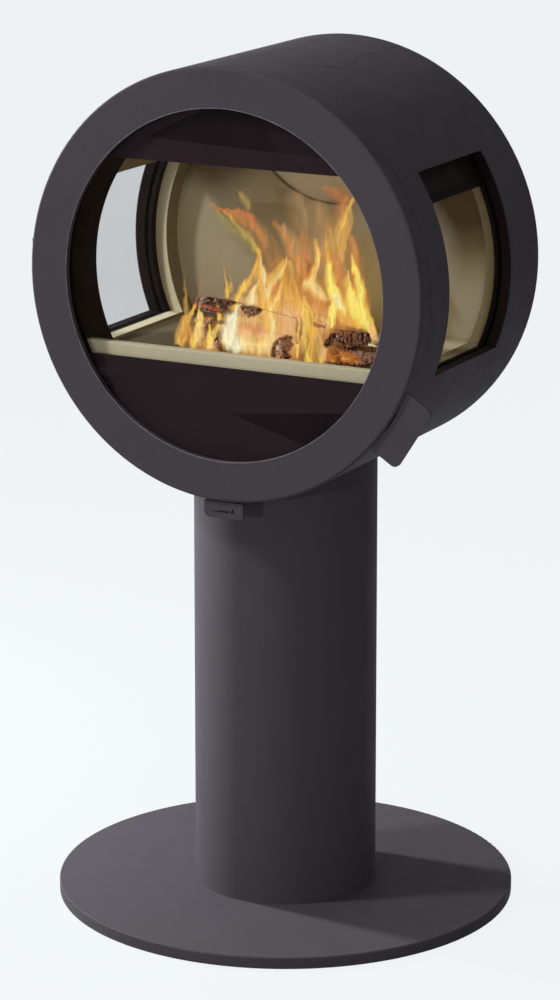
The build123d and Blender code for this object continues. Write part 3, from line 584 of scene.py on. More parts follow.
# Colour, cover, softness, and the middle line as x, y and half width
STROKES = [
    # Haze behind everything
    (HAZE, 0.45, 1.0, [(1000, 130, 60), (1050, 260, 90), (1100, 420, 90), (1120, 600, 80)]),
    (TAN, 0.6, 1.0, [(900, 330, 30), (980, 450, 60), (1010, 600, 70)]),
    (ORANGE, 0.45, 1.0, [(1040, 360, 20), (1060, 450, 44), (1050, 560, 50)]),
    (TAN, 0.4, 1.0, [(1150, 190, 50), (1180, 300, 60), (1200, 430, 60), (1200, 600, 60)]),
    (RED, 0.4, 1.0, [(1210, 50, 30), (1280, 90, 55), (1340, 140, 40)]),
    (OCHRE, 0.4, 1.0, [(610, 85, 10), (645, 130, 24), (675, 190, 18)]),
    # The long slanting tongue at the left
    (OLIVE, 0.75, 1.0, [(455, 225, 14), (520, 290, 30), (600, 360, 30), (680, 430, 34), (740, 500, 26)]),
    (ORANGE, 0.6, 1.0, [(520, 225, 22), (640, 270, 40), (720, 340, 46), (790, 420, 50), (860, 560, 60)]),
    (RED, 0.75, 1.0, [(455, 205, 8), (540, 212, 16), (630, 222, 20), (690, 260, 26), (720, 320, 20)]),
    (OCHRE, 0.65, 1.0, [(520, 235, 8), (590, 300, 16), (650, 370, 20), (700, 430, 18), (760, 520, 14)]),
    (RED, 0.35, 1.0, [(400, 150, 6), (440, 185, 12), (500, 210, 10)]),
    (ORANGE, 0.5, 1.0, [(850, 300, 20), (900, 360, 26), (950, 440, 30), (980, 540, 40)]),
    # Upper right
    (ORANGE, 0.55, 1.0, [(1330, 130, 20), (1300, 230, 50), (1270, 360, 70), (1260, 520, 80),
                         (1270, 640, 80)]),
    (OCHRE, 0.8, 0.9, [(1385, 115, 8), (1362, 180, 16), (1335, 260, 30), (1300, 350, 44), (1280, 440, 36),
                       (1300, 540, 20)]),
    (AMBER, 0.8, 0.8, [(1386, 110, 5), (1375, 150, 12), (1350, 215, 12), (1322, 280, 16), (1295, 350, 14)]),
    (OCHRE, 0.6, 0.9, [(1225, 330, 8), (1218, 420, 14), (1222, 520, 16)]),
    (AMBER, 0.5, 0.9, [(1380, 210, 6), (1372, 290, 12), (1345, 380, 12), (1330, 470, 14)]),
    (ORANGE, 0.65, 0.9, [(1372, 380, 10), (1385, 460, 26), (1400, 560, 34), (1420, 700, 40),
                         (1440, 860, 50)]),
    (RED, 0.35, 1.0, [(1270, 470, 16), (1290, 560, 30), (1300, 680, 34), (1330, 760, 30)]),
    # Middle orange mass
    (ORANGE, 0.85, 1.0, [(770, 600, 16), (800, 680, 60), (860, 780, 120), (900, 900, 200), (900, 1050, 240)]),
    (ORANGE, 0.85, 1.0, [(1010, 560, 30), (1060, 680, 80), (1100, 800, 110), (1120, 950, 140),
                         (1100, 1080, 150)]),
    (ORANGE, 0.85, 1.0, [(1200, 520, 30), (1260, 660, 70), (1330, 800, 90), (1350, 930, 100)]),
    (PINK, 0.85, 0.9, [(640, 860, 60), (760, 900, 90), (900, 930, 110), (1030, 960, 110), (1180, 990, 60)]),
    (PINK, 0.85, 0.9, [(560, 1000, 80), (700, 1040, 110), (850, 1060, 120), (1000, 1090, 110)]),
    (RED, 0.5, 1.0, [(1050, 480, 10), (1075, 560, 28), (1100, 620, 34), (1110, 660, 16)]),
    (SMOKE, 0.7, 1.0, [(800, 360, 12), (818, 420, 30), (832, 490, 38), (835, 545, 16)]),
    (BROWN, 0.4, 1.0, [(1064, 545, 10), (1085, 600, 24), (1105, 640, 14)]),
    (ORANGE, 0.6, 0.8, [(1000, 540, 8), (1040, 620, 16), (1075, 690, 18), (1110, 740, 12)]),
    (AMBER, 0.6, 0.8, [(950, 560, 8), (975, 660, 18), (1000, 760, 20), (1010, 880, 24)]),
    # Tall tongues
    (AMBER, 0.85, 0.8, [(1130, 400, 5), (1140, 480, 16), (1138, 560, 22), (1110, 650, 24), (1085, 720, 30)]),
    (PALE, 0.7, 0.9, [(1142, 450, 4), (1146, 530, 9), (1136, 610, 12), (1110, 680, 16)]),
    (PALE, 0.75, 0.9, [(1060, 700, 20), (1100, 720, 44), (1130, 740, 40), (1170, 800, 30)]),
    (AMBER, 0.85, 0.7, [(735, 470, 5), (750, 560, 20), (755, 660, 32), (770, 760, 40), (800, 880, 44)]),
    (PALE, 0.9, 0.8, [(757, 525, 4), (764, 590, 14), (775, 660, 22), (795, 730, 24), (800, 800, 20)]),
    (WHITE, 0.7, 0.9, [(762, 600, 4), (776, 660, 12), (792, 720, 14), (800, 770, 8)]),
    (PALE, 0.8, 0.8, [(938, 530, 5), (915, 590, 20), (870, 640, 28), (825, 690, 28), (800, 760, 20)]),
    (AMBER, 0.7, 0.9, [(905, 540, 5), (880, 600, 18), (835, 660, 16), (800, 720, 10)]),
    (AMBER, 0.85, 0.8, [(735, 560, 6), (700, 650, 18), (650, 720, 24), (600, 790, 26), (560, 860, 24)]),
    (YELLOW, 0.7, 0.8, [(655, 680, 4), (630, 740, 12), (600, 800, 16), (585, 860, 18)]),
    (PALE, 0.8, 0.9, [(735, 690, 5), (700, 760, 20), (690, 820, 34), (670, 860, 20)]),
    (WHITE, 0.75, 0.9, [(705, 770, 6), (700, 810, 20), (690, 845, 16)]),
    (YELLOW, 0.9, 0.8, [(1205, 500, 5), (1220, 570, 18), (1225, 650, 30), (1240, 740, 34), (1275, 830, 40),
                        (1310, 910, 30)]),
    (BRIGHT, 0.85, 0.8, [(1215, 540, 3), (1224, 620, 14), (1232, 700, 18), (1262, 790, 24), (1300, 880, 20)]),
    (AMBER, 0.7, 0.9, [(1190, 400, 4), (1205, 480, 12), (1215, 560, 12)]),
    (YELLOW, 0.9, 0.8, [(1370, 510, 5), (1395, 590, 16), (1425, 690, 24), (1432, 800, 34), (1440, 900, 44),
                        (1475, 980, 40), (1515, 1050, 16)]),
    (BRIGHT, 0.9, 0.8, [(1395, 590, 4), (1418, 660, 12), (1438, 740, 14), (1430, 830, 20), (1450, 920, 24),
                        (1490, 1000, 14)]),
    (YELLOW, 0.85, 0.8, [(1350, 620, 5), (1345, 700, 20), (1365, 790, 34), (1385, 880, 40), (1420, 960, 34)]),
    (BRIGHT, 0.8, 0.8, [(1355, 690, 4), (1368, 780, 18), (1385, 860, 24), (1410, 930, 18)]),
    (WHITE, 0.85, 1.0, [(1255, 780, 10), (1275, 825, 26), (1300, 880, 26), (1325, 930, 12)]),
    (RED, 0.35, 1.0, [(1320, 640, 6), (1330, 720, 12), (1330, 820, 14)]),
    (PINK, 0.6, 1.0, [(1180, 800, 6), (1220, 812, 12), (1262, 815, 8)]),
    (AMBER, 0.6, 0.9, [(935, 560, 8), (922, 640, 30), (930, 720, 40), (960, 800, 44)]),
    # Base of the fire
    (AMBER, 0.85, 0.8, [(905, 690, 5), (885, 770, 22), (845, 840, 34), (820, 920, 40), (830, 1010, 44)]),
    (PALE, 0.85, 0.9, [(900, 720, 4), (880, 780, 12), (845, 850, 22), (825, 930, 26), (840, 1000, 28)]),
    (WHITE, 0.6, 1.0, [(840, 950, 10), (845, 1000, 24), (830, 1060, 20)]),
    (PINK, 0.8, 0.9, [(930, 900, 30), (960, 950, 44), (960, 1010, 40)]),
    (RED, 0.45, 1.0, [(620, 990, 12), (690, 1010, 26), (740, 1030, 20), (700, 1060, 16)]),
    (PALE, 0.85, 0.9, [(520, 1100, 40), (640, 1120, 60), (780, 1130, 64), (840, 1100, 40)]),
    (CORE, 0.95, 0.9, [(600, 870, 14), (570, 930, 34), (550, 1000, 48), (545, 1070, 56), (580, 1130, 50)]),
    (AMBER, 0.7, 1.0, [(735, 945, 10), (737, 965, 18), (733, 975, 8)]),
    (AMBER, 0.6, 1.0, [(720, 1100, 10), (745, 1085, 20), (765, 1078, 8)]),
    (AMBER, 0.6, 1.0, [(960, 880, 10), (965, 850, 14), (970, 830, 6)]),
    (YELLOW, 0.9, 0.7, [(1055, 800, 6), (1065, 880, 26), (1075, 960, 34), (1075, 1060, 34),
                        (1080, 1230, 30)]),
    (AMBER, 0.8, 0.8, [(1100, 860, 10), (1110, 950, 24), (1110, 1060, 26), (1130, 1230, 40)]),
    (YELLOW, 0.8, 0.6, [(1005, 960, 4), (1008, 1060, 8), (1005, 1210, 10)]),
    (BROWN, 0.8, 0.7, [(1003, 950, 4), (1000, 1010, 8), (1004, 1110, 7)]),
    (BROWN, 0.7, 0.7, [(1024, 955, 4), (1026, 1020, 8), (1022, 1100, 6)]),
    (BROWN, 0.4, 1.0, [(1120, 1090, 6), (1135, 1150, 16), (1145, 1220, 14)]),
    (BROWN, 0.5, 1.0, [(1180, 1060, 6), (1192, 1140, 16), (1200, 1225, 18)]),
    (BROWN, 0.45, 1.0, [(1040, 1090, 6), (1046, 1160, 12), (1040, 1230, 14)]),
    (BROWN, 0.35, 1.0, [(230, 1060, 6), (262, 1030, 14), (258, 1100, 16)]),
    (BROWN, 0.35, 1.0, [(375, 1000, 6), (385, 1060, 12), (370, 1110, 10)]),
    (BRIGHT, 0.85, 0.7, [(1240, 840, 8), (1242, 890, 22), (1240, 950, 26), (1236, 1000, 14)]),
    (AMBER, 0.7, 0.9, [(1290, 900, 20), (1330, 950, 34), (1390, 985, 24), (1450, 1000, 10)]),
    (PINK, 0.8, 0.9, [(1150, 1060, 20), (1160, 1130, 40), (1180, 1220, 36)]),
    (YELLOW, 0.75, 0.8, [(1160, 1090, 6), (1150, 1160, 14), (1158, 1230, 14)]),
    (PINK, 0.75, 0.9, [(1500, 980, 8), (1515, 1030, 22), (1525, 1090, 20)]),
    (WHITE, 0.7, 0.9, [(1490, 1118, 6), (1515, 1128, 10), (1540, 1130, 5)]),
    (BROWN, 0.45, 1.0, [(1140, 1080, 10), (1150, 1150, 24), (1142, 1225, 22)]),
    # Low group at the left
    (ORANGE, 0.6, 1.0, [(225, 930, 8), (240, 1000, 40), (300, 1070, 90), (360, 1120, 90), (430, 1160, 60)]),
    (RED, 0.35, 1.0, [(370, 950, 16), (420, 970, 30), (450, 1010, 30), (440, 1060, 20)]),
    (OCHRE, 0.7, 0.8, [(205, 960, 4), (185, 1030, 14), (182, 1110, 16)]),
    (AMBER, 0.8, 0.7, [(320, 830, 4), (285, 900, 14), (240, 980, 20), (215, 1110, 26)]),
    (YELLOW, 0.8, 0.7, [(340, 870, 4), (345, 940, 14), (330, 1010, 20), (300, 1110, 30)]),
    (AMBER, 0.7, 0.7, [(265, 900, 4), (262, 980, 12), (280, 1060, 18)]),
    (PALE, 0.8, 0.8, [(320, 960, 6), (352, 930, 10), (350, 1000, 20), (330, 1090, 30)]),
    (YELLOW, 0.8, 0.8, [(400, 960, 4), (410, 1040, 16), (400, 1120, 26)]),
    (PALE, 0.75, 0.8, [(440, 1000, 4), (425, 1070, 14), (410, 1130, 24)]),
    (YELLOW, 0.8, 0.8, [(470, 900, 6), (470, 960, 14), (455, 1030, 14), (440, 1080, 10)]),
    (AMBER, 0.6, 0.9, [(455, 830, 4), (470, 890, 14), (480, 950, 14)]),
    # Thin wisps
    (OCHRE, 0.4, 1.0, [(240, 610, 4), (236, 720, 10), (250, 860, 16), (245, 940, 10)]),
    (RED, 0.3, 1.0, [(385, 560, 3), (350, 680, 9), (335, 760, 9), (310, 840, 9)]),
    (AMBER, 0.6, 0.7, [(497, 565, 3), (504, 640, 5), (516, 720, 9), (524, 792, 12)]),
    (AMBER, 0.7, 0.7, [(532, 640, 2), (546, 700, 6), (534, 770, 9), (528, 800, 8)]),
    (AMBER, 0.6, 0.7, [(572, 690, 2), (556, 740, 5), (540, 790, 6)]),
]

# Embers that glow through along the logs' lower edges
EMBERS = (196, 58, 30)
EMBER_EDGES = [
    (0.6, [(318, 846, 8), (370, 860, 17), (430, 878, 19), (485, 890, 10)]),
    (0.5, [(440, 1085, 4), (462, 1118, 6), (486, 1150, 5)]),
    (0.55, [(1105, 972, 4), (1150, 985, 6), (1195, 996, 4)]),
    (0.4, [(832, 1150, 4), (850, 1110, 6), (890, 1072, 5)]),
]

# Where the logs stand in front of the flames: cover and middle line
BARE_LOGS = [
    (1.0, [(325, 835, 26), (380, 810, 44), (450, 815, 50), (520, 830, 44), (575, 830, 24)]),
    (0.9, [(320, 870, 14), (400, 870, 24), (480, 890, 22)]),
    (0.75, [(385, 915, 30), (440, 915, 26), (490, 925, 18)]),
    (0.6, [(370, 965, 20), (430, 965, 24), (490, 970, 18)]),
    (0.85, [(452, 1085, 16), (470, 1120, 22), (488, 1155, 14)]),
    (0.95, [(640, 872, 30), (690, 895, 48), (750, 888, 24)]),
    (0.9, [(668, 920, 18), (672, 935, 12)]),
    (0.5, [(590, 835, 6), (760, 878, 6), (900, 920, 6), (1000, 945, 6)]),
    (0.95, [(845, 1190, 24), (870, 1130, 44), (915, 1095, 44), (960, 1075, 18)]),
    (0.9, [(925, 1200, 18), (955, 1205, 14)]),
    (0.85, [(885, 1170, 30), (925, 1150, 36), (960, 1120, 24)]),
    (0.65, [(1125, 985, 18), (1190, 1000, 14)]),
    (1.0, [(1205, 1120, 30), (1260, 1080, 50), (1340, 1065, 60), (1420, 1065, 62), (1480, 1075, 46)]),
    (1.0, [(1340, 1150, 20), (1440, 1160, 36), (1530, 1180, 44)]),
    (0.9, [(1220, 1195, 24), (1300, 1200, 40), (1400, 1205, 32)]),
    (1.0, [(1240, 1252, 10), (1400, 1258, 16), (1520, 1262, 22)]),
]

# Where fine strands run through the flames: range across, range down, count and tones
STRANDED = [
    ((185, 480), (850, 1170), 110, (YELLOW, AMBER, OCHRE, PALE, BROWN, RED)),
    ((1000, 1215), (880, 1240), 90, (YELLOW, AMBER, OCHRE, BROWN, PINK)),
    ((1190, 1480), (540, 1000), 80, (YELLOW, BRIGHT, AMBER, ORANGE)),
    ((600, 1190), (560, 1060), 130, (ORANGE, AMBER, PALE, PINK, RED)),
]


def loose_strands():
    """Seeded fine strands that only change the colour of the flames they cross."""
    chance = random.Random(23)
    out = []
    for (left, right), (top, bottom), count, tones in STRANDED:
        for _ in range(count):
            x, foot = chance.uniform(left, right), chance.uniform(top + 60, bottom)
            tall, lean, half = chance.uniform(50, 170), chance.uniform(-0.3, 0.3), chance.uniform(3, 8)
            bow = chance.uniform(-10, 10)
            line = [(x, foot, half), (x + lean * tall / 2 + bow, foot - tall / 2, half),
                    (x + lean * tall, foot - tall, 2)]
            out.append((chance.choice(tones), chance.uniform(0.3, 0.65), thinner(line)))
    return out


def smooth_line(line):
    """A smooth curve through given places, as closely spaced rows of x, y and half width."""
    rows = np.array(line, dtype=float)
    rows = np.vstack([2 * rows[0] - rows[1], rows, 2 * rows[-1] - rows[-2]])
    out = []
    for a, b, c, d in zip(rows, rows[1:], rows[2:], rows[3:]):
        count = max(int(np.hypot(*(c - b)[:2]) / ROW_EVERY), 2)
        for t in np.linspace(0, 1, count, endpoint=False):
            out.append(0.5 * (2 * b + (c - a) * t + (2 * a - 5 * b + 4 * c - d) * t * t
                              + (3 * b - a - 3 * c + d) * t ** 3))
    out.append(rows[-2])
    out = np.array(out)
    out[:, 2] = np.maximum(out[:, 2], THINNEST) * BROADER
    return out


def thinner(line):
    """A line whose written half widths are meant as they stand."""
    return [(x, y, half / BROADER) for x, y, half in line]


def stroke_cover(xs, ys, line, softness):
    """How much of a drawn stroke covers each grid place: 1 in the middle, falling to 0 at its edge."""
    nearest = np.full(xs.shape, FAR_OFF)
    rows = smooth_line(line)
    reach = rows[:, 2].max() * 1.1
    box = ((xs > rows[:, 0].min() - reach) & (xs < rows[:, 0].max() + reach)
           & (ys > rows[:, 1].min() - reach) & (ys < rows[:, 1].max() + reach))
    bx, by = xs[box], ys[box]
    best = np.full(bx.shape, FAR_OFF)
    for x, y, half in rows:
        best = np.minimum(best, ((bx - x) ** 2 + (by - y) ** 2) / half ** 2)
    nearest[box] = np.sqrt(best)
    t = np.clip((nearest - (1.0 - softness)) / softness, 0.0, 1.0)
    return 1.0 - t * t * (3.0 - 2.0 * t)


def value_noise(xs, ys, wide, tall, seed):
    """Smooth noise from -1 to 1, with its own size across and up."""
    size = 64
    table = np.random.RandomState(seed).uniform(-1, 1, (size, size))
    u, v = xs / wide + size / 2, ys / tall + size / 2
    i, j = np.floor(u).astype(int), np.floor(v).astype(int)
    a, b = u - i, v - j
    a, b = a * a * (3 - 2 * a), b * b * (3 - 2 * b)

    def corner(p, q):
        return table[(j + q) % size, (i + p) % size]
    return ((corner(0, 0) * (1 - a) + corner(1, 0) * a) * (1 - b)
            + (corner(0, 1) * (1 - a) + corner(1, 1) * a) * b)


def with_fibres(strokes):
    """Adds thin strands inside each tongue, a little lighter or redder than the tongue itself."""
    chance = random.Random(5)
    out = []
    for tone, share, softness, line in strokes:
        out.append((tone, share, min(softness + 0.15, 1.0), line))
        if softness >= 1.0 or share < 0.6:
            continue
        for strand in range(6):
            aside = chance.uniform(-1.1, 1.1)
            lift = chance.uniform(-14, 10)
            change = (10, 12, 20) if strand % 2 else (-12, -38, -28)
            fibre = tuple(min(255, max(0, c + d)) for c, d in zip(tone, change))
            thin = [(x + aside * half, y + lift, half * 0.14 + 0.8) for x, y, half in line]
            out.append((fibre, 0.5, 1.0, thin))
    return out


def laid_over(colour, cover, tone, add):
    """Colour and cover after one more tone is laid over them."""
    total = add + cover * (1.0 - add)
    weight = np.where(total > 0, add / np.maximum(total, 1e-6), 0.0)[..., None]
    return np.array(tone, dtype=float) * weight + colour * (1.0 - weight), total


def painted_flames(xs, ys):
    """Colour and cover of the drawn flames at each grid place, with licking edges and thin strands."""
    wx = xs + 9 * value_noise(xs, ys, 26, 70, 1) + 6 * value_noise(xs, ys, 13, 34, 2)
    wy = ys + 13 * value_noise(xs, ys, 24, 60, 3)
    strands = 0.4 * value_noise(wx, ys, 11, 90, 4) + 0.6 * value_noise(wx, ys, 24, 120, 5)
    colour = np.zeros(xs.shape + (3,))
    cover = np.zeros(xs.shape)
    for number, (tone, share, softness, line) in enumerate(with_fibres(STROKES)):
        add = share * stroke_cover(wx, wy, line, softness)
        add = np.clip(add * (1.0 + 0.3 * value_noise(wx, ys, 15, 110, 20 + number)), 0.0, 0.98)
        colour, cover = laid_over(colour, cover, tone, add)
    for tone, share, line in loose_strands():
        add = (share * stroke_cover(wx, wy, line, 1.0))[..., None]
        colour = np.array(tone, dtype=float) * add + colour * (1.0 - add)
    colour = np.clip(colour * (1.0 + 0.07 * strands[..., None]), 0, 255)
    return colour, np.clip(cover * (1.0 + 0.2 * strands), 0.0, 1.0)


def camera_ray(u, v):
    """From the camera through a place on the photograph, in pixels from its top left corner."""
    across, up = (u - FRAME_WIDE / 2) / FRAME_TALL, (FRAME_TALL / 2 - v) / FRAME_TALL
    sensor = SENSOR_MM / LENS_MM
    turn = (Matrix.Rotation(math.radians(CAMERA_TURN), 3, "Z")
            @ Matrix.Rotation(math.radians(CAMERA_TILT), 3, "X"))
    return turn @ Vector((across * sensor, (up + SHIFT_UP) * sensor, -1.0))


def spot(u, v, y):
    """The place at depth y that the photograph shows at these pixels."""
    ray = camera_ray(u, v)
    start = Vector(CAMERA_AT)
    return start + ray * ((y - start.y) / ray.y)


FLAME_STRENGTH = 1.22


def flame_material():
    """Glowing gas: the piece's own colours, thinned out by rising strands."""
    s = Shader("flame")
    layer = s.add("Attribute", attribute_name="fire_tone")
    strands = s.noise(120.0, 3.0, 0.55, stretch=(1.0, 1.0, 0.12))
    tone = s.mix(s.remap(strands, 0.3, 0.7, 0.0, 0.1), layer.outputs["Color"], srgb(255, 240, 190))
    glow = s.add("Emission", {"Strength": FLAME_STRENGTH})
    s.link(tone, glow.inputs["Color"])
    clear = s.add("BsdfTransparent")
    cover = s.math("MULTIPLY", layer.outputs["Alpha"], s.remap(strands, 0.3, 0.7, 0.95, 1.05), clamp=True)
    s.blended(cover, clear, glow)
    s.material.cycles.emission_sampling = "NONE"
    return s.material


def add_flame_sheet(name, points, cover, colour, across, material):
    """A sheet of flame without the cells that are empty or outside the firebox."""
    faces = [cell for cell in grid_cells(across, len(points) // across)
             if max(cover[c] for c in cell) > 0.02 and all(in_firebox(points[c]) for c in cell)]
    colours = [(*srgb(*tone)[:3], share) for tone, share in zip(colour, cover)]
    points, faces, colours = kept_points(points, faces, colours)
    piece = add_piece(name, points, faces, material)
    colour_layer(piece.data, "fire_tone", colours)


# The room that flames may fill: radius, lowest and highest place, and front and back
FLAME_R = 0.214
FLAME_LOW, FLAME_HIGH = FLOOR_Z + 0.0015, AXIS_Z + 0.145
FLAME_FRONT, FLAME_BACK = -0.128, BACK_WALL_Y - 0.004


def in_firebox(point):
    x, y, z = point
    return math.hypot(x, z - AXIS_Z) < FLAME_R and FLAME_LOW < z < FLAME_HIGH and FLAME_FRONT < y < FLAME_BACK


# The drawing's part that the curtains cover, and the rows over which the front one fades in
GRID_ACROSS, GRID_DOWN, GRID_STEP = (140.0, 1585.0), (45.0, 1290.0), 5.0
FRONT_FROM, FRONT_FADE = 640.0, 220.0


def make_flame_sheets(material):
    """A curtain of flame in front of the logs and one behind them, drawn as the photograph has them."""
    across_at, down_at = np.arange(*GRID_ACROSS, GRID_STEP), np.arange(*GRID_DOWN, GRID_STEP)
    xs, ys = np.meshgrid(across_at, down_at)
    colour, cover = painted_flames(xs, ys)
    bare = np.zeros(xs.shape)
    wx = xs + 5 * value_noise(xs, ys, 14, 18, 61)
    wy = ys + 5 * value_noise(xs, ys, 16, 14, 62)
    for share, line in BARE_LOGS:
        bare = np.maximum(bare, share * stroke_cover(wx, wy, thinner(line), 0.45))
    front = cover * np.clip((ys - FRONT_FROM) / FRONT_FADE, 0.0, 1.0) * (1 - bare)
    lit = colour
    for share, line in EMBER_EDGES:
        lit, front = laid_over(lit, front, EMBERS, share * stroke_cover(xs, ys, thinner(line), 1.0))
    # Name, cover, colours, depth at the foot, sideways wave and lean towards the front
    sheets = [("flames_behind", cover, colour, 0.046, 0.014, 0.030),
              ("flames_front", front, lit, -0.092, 0.0, -0.03)]
    for name, share, tones, depth, wave, lean in sheets:
        points = []
        for x, y in zip(xs.ravel(), ys.ravel()):
            high = smooth(1150.0 - y, 150.0, 700.0)
            bend = wave * math.sin(x * 0.013 + y * 0.006) + 0.4 * wave * math.sin(x * 0.041 + 1.0)
            u, v = DRAWN_AT[0] + x / ENLARGED, DRAWN_AT[1] + y / ENLARGED
            points.append(spot(u, v, depth + bend - lean * high))
        add_flame_sheet(name, points, share.ravel(), tones.reshape(-1, 3), len(across_at), material)


def make_side_tongues(material):
    """Tongues that stand along the line of sight, so that the fire has depth from the sides."""
    chance = random.Random(11)
    count, left, wide = 16, -70, 230
    for number in range(count):
        x = left + wide * (number + 0.5) / count + chance.uniform(-5, 5)
        y = chance.uniform(-58, 22)
        height = chance.uniform(70, 150) * (1.0 if x > 0 else 0.6)
        half = chance.uniform(15, 27)
        root = Vector((x, y, 0)) * MM
        root.z = FLOOR_Z + 0.002
        away = Vector((root.x - CAMERA_AT[0], root.y - CAMERA_AT[1], 0)).normalized()
        across, tall = 15, 46
        phase = chance.uniform(0, 6)
        points, cover, colour = [], [], []
        for j in range(tall):
            h = 1.0 - j / (tall - 1)
            taper = (1.0 - h) ** 0.7 * (0.55 + 0.45 * smooth(h, 0.0, 0.25))
            sway = 5 * math.sin(h * 5 + phase) * h + 3 * math.sin(h * 13 + phase * 2) * h
            for i in range(across):
                side = 2.0 * i / (across - 1) - 1.0
                reach = (side * half * max(taper, 0.04) + sway) * MM
                points.append(root + away * reach + Vector((0, 0, h * height * MM)))
                edge = 1.0 - abs(side) ** 2.2
                inner = edge * (1.0 - 0.6 * h)
                cover.append(edge * smooth(1.0 - h, 0.0, 0.45) * smooth(h, -0.02, 0.1) * 0.85)
                hot = smooth(inner, 0.75, 1.0)
                cool = np.array(ORANGE, dtype=float) * (1 - inner) + np.array(BRIGHT) * inner
                colour.append(cool * (1 - hot) + np.array(WHITE) * hot)
        add_flame_sheet(f"side_tongue_{number + 1}", points, cover, colour, across, material)


def prism(name, outline, y_front, y_back, material, body):
    """A thin raised mark with the given outline of x, z places."""
    count = len(outline)
    points = [(x, y, z) for y in (y_front, y_back) for x, z in outline]
    faces = [tuple(range(count - 1, -1, -1)), tuple(range(count, 2 * count))]
    faces += [(i, (i + 1) % count, count + (i + 1) % count, count + i) for i in range(count)]
    add_piece(name, points, faces, material, smooth_faces=False, body=body)


def make_lever_mark():
    """More or less air: a wedge that grows towards a small flame, in dark print on the lever's tab."""
    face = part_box("air_lever")[0].y
    ink = Shader("mark_ink")
    ink.principled(ink.mix(ink.noise(900.0), srgb(24, 19, 22), srgb(34, 28, 31)), 0.7, 0.06)
    wedge = [(213, 510.2), (229, 511.2), (229, 513.3), (213, 510.8)]
    flame = [(231.2, 513.4), (230.8, 511.6), (232.0, 510.2), (232.2, 508.8), (233.6, 510.8), (234.2, 512.4),
             (233.6, 513.6)]
    proud = 0.0002
    for name, drawn in (("air_mark_wedge", wedge), ("air_mark_flame", flame)):
        outline = [(place.x, place.z) for place in (spot(u, v, face) for u, v in drawn)]
        prism(name, outline, face - proud, face + proud, ink.material, "air_control")


def make_door_edge():
    """The door ring's inner front edge: a rounded bead painted lighter than the paint, as a painted
    highlight.
    """
    middle, bead, around, sides = DOOR_OPENING_R + 0.0001, 0.00055, 180, 8
    points, faces = [], []
    for i in range(around):
        a = 2 * math.pi * i / around
        for j in range(sides):
            b = 2 * math.pi * j / sides
            reach = middle + bead * math.cos(b)
            y = FRONT_Y + 0.0006 + bead * math.sin(b)
            points.append((reach * math.cos(a), y, AXIS_Z + reach * math.sin(a)))
            faces.append((i * sides + j, i * sides + (j + 1) % sides,
                          (i + 1) % around * sides + (j + 1) % sides, (i + 1) % around * sides + j))
    s = Shader("highlight_edge")
    # Painted highlight: the bead's colour is lighter than the paint, in uneven patches
    edge_light = s.remap(s.noise(60.0, 4.0, 0.6), 0.35, 0.65)
    s.principled(s.mix(edge_light, srgb(82, 76, 82), srgb(122, 116, 120)), 0.5, 0.3)
    add_piece("door_edge", points, faces, s.material, body="door")


def make_fire():
    wood = charred_log_material()
    noise.seed_set(CRACK_SEED)
    for number, log in enumerate(LOGS):
        make_log(number, log, wood)
    make_ember_bed()
    flame = flame_material()
    make_flame_sheets(flame)
    make_side_tongues(flame)


# Stage
def backdrop_shader(name, lit_share):
    """A pale surface that looks the same everywhere to the camera, and still keeps a soft shadow."""
    s = Shader(name)
    glow = s.add("Emission", {"Color": srgb(*BACKGROUND)})
    seen = s.seen_directly()
    matt = s.add("BsdfDiffuse")
    s.link(s.mix(seen, scaled(srgb(*BACKGROUND), FLOOR_BOUNCE), srgb(*BACKGROUND)), matt.inputs["Color"])
    s.blended(s.math("MULTIPLY", seen, 1.0 - lit_share), matt, glow)
    return s.material


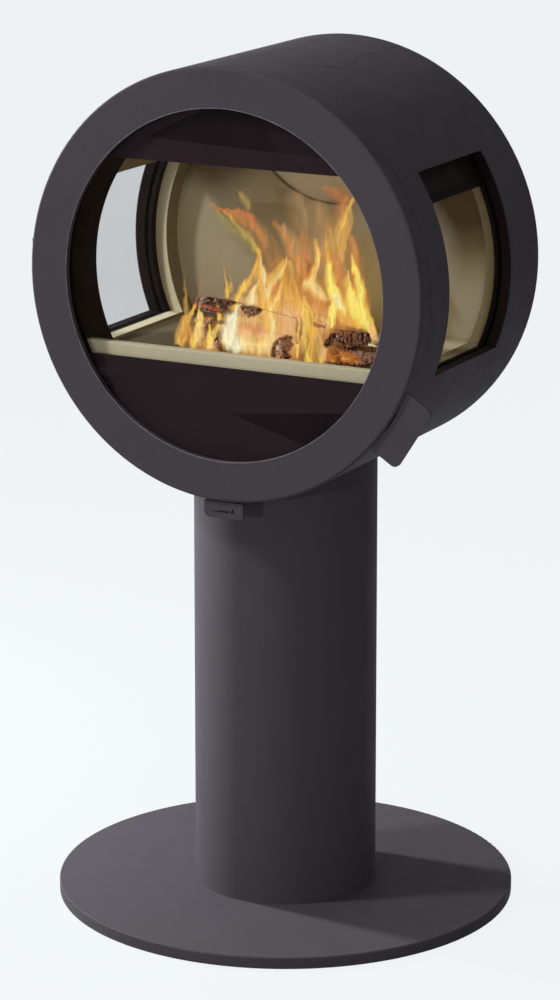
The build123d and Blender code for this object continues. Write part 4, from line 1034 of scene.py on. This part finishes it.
def make_floor():
    """A plain floor a hair under the base, so that the two faces never share a plane."""
    half = 12.0
    corners = [(-half, -half, 0), (half, -half, 0), (half, half, 0), (-half, half, 0)]
    floor = add_mesh("studio_floor", corners, [(0, 1, 2, 3)], backdrop_shader("studio_floor", FLOOR_LIT))
    floor.location.z = -0.0005


def make_world():
    """Soft fill light, brighter from the left, behind a plain background."""
    s = Shader("studio", "World")
    fill = s.add("Background")
    s.link(s.remap(s.axis("X"), *FILL_ACROSS), fill.inputs["Strength"])
    plain = s.add("Background", {"Color": srgb(*BACKGROUND)})
    s.blended(s.seen_directly(), fill, plain)
    bpy.context.scene.world = s.material


def add_lamp(name, at, target, size, watts, colour=(1.0, 1.0, 1.0)):
    data = bpy.data.lights.new(name, "AREA")
    data.shape = "DISK"
    data.size = size
    data.energy = watts
    data.color = colour
    lamp = add_object(name, data)
    lamp.location = at
    lamp.rotation_euler = (Vector(target) - Vector(at)).to_track_quat("-Z", "Y").to_euler()
    lamp.visible_camera = False
    lamp.visible_transmission = False


def direction(azimuth, elevation):
    """Towards a lamp: azimuth 0 is +X, 180 is -X, 270 is -Y."""
    a, e = math.radians(azimuth), math.radians(elevation)
    return Vector((math.cos(a) * math.cos(e), math.sin(a) * math.cos(e), math.sin(e)))


def make_lamps():
    """A strong low lamp at the left, the key from the upper left, and two weak lamps in front."""
    body = Vector((0, 0, 0.55))
    drum = Vector((0, 0, AXIS_Z))
    add_lamp("side_lamp", (-1.55, 0.02, 0.93), (0, 0, 0.45), 0.16, 58.0, (0.95, 1.04, 1.01))
    add_lamp("key_lamp", body + 3.4 * direction(220, 42), body, 0.4, 74.0)
    add_lamp("front_lamp", drum + 4.0 * direction(270, 6), drum, 0.16, 27.0)
    add_lamp("right_lamp", drum + 3.5 * direction(305, 12), drum, 0.5, 13.0)


def make_camera():
    data = bpy.data.cameras.new("camera")
    data.lens = LENS_MM
    data.shift_y = SHIFT_UP
    camera = add_object("camera", data)
    camera.location = CAMERA_AT
    camera.rotation_euler = (math.radians(CAMERA_TILT), 0.0, math.radians(CAMERA_TURN))
    bpy.context.scene.camera = camera


dress_nodes()
make_door_edge()
make_lever_mark()
make_fire()
make_floor()
make_world()
make_lamps()
make_camera()
bpy.context.scene.view_settings.view_transform = "Standard"
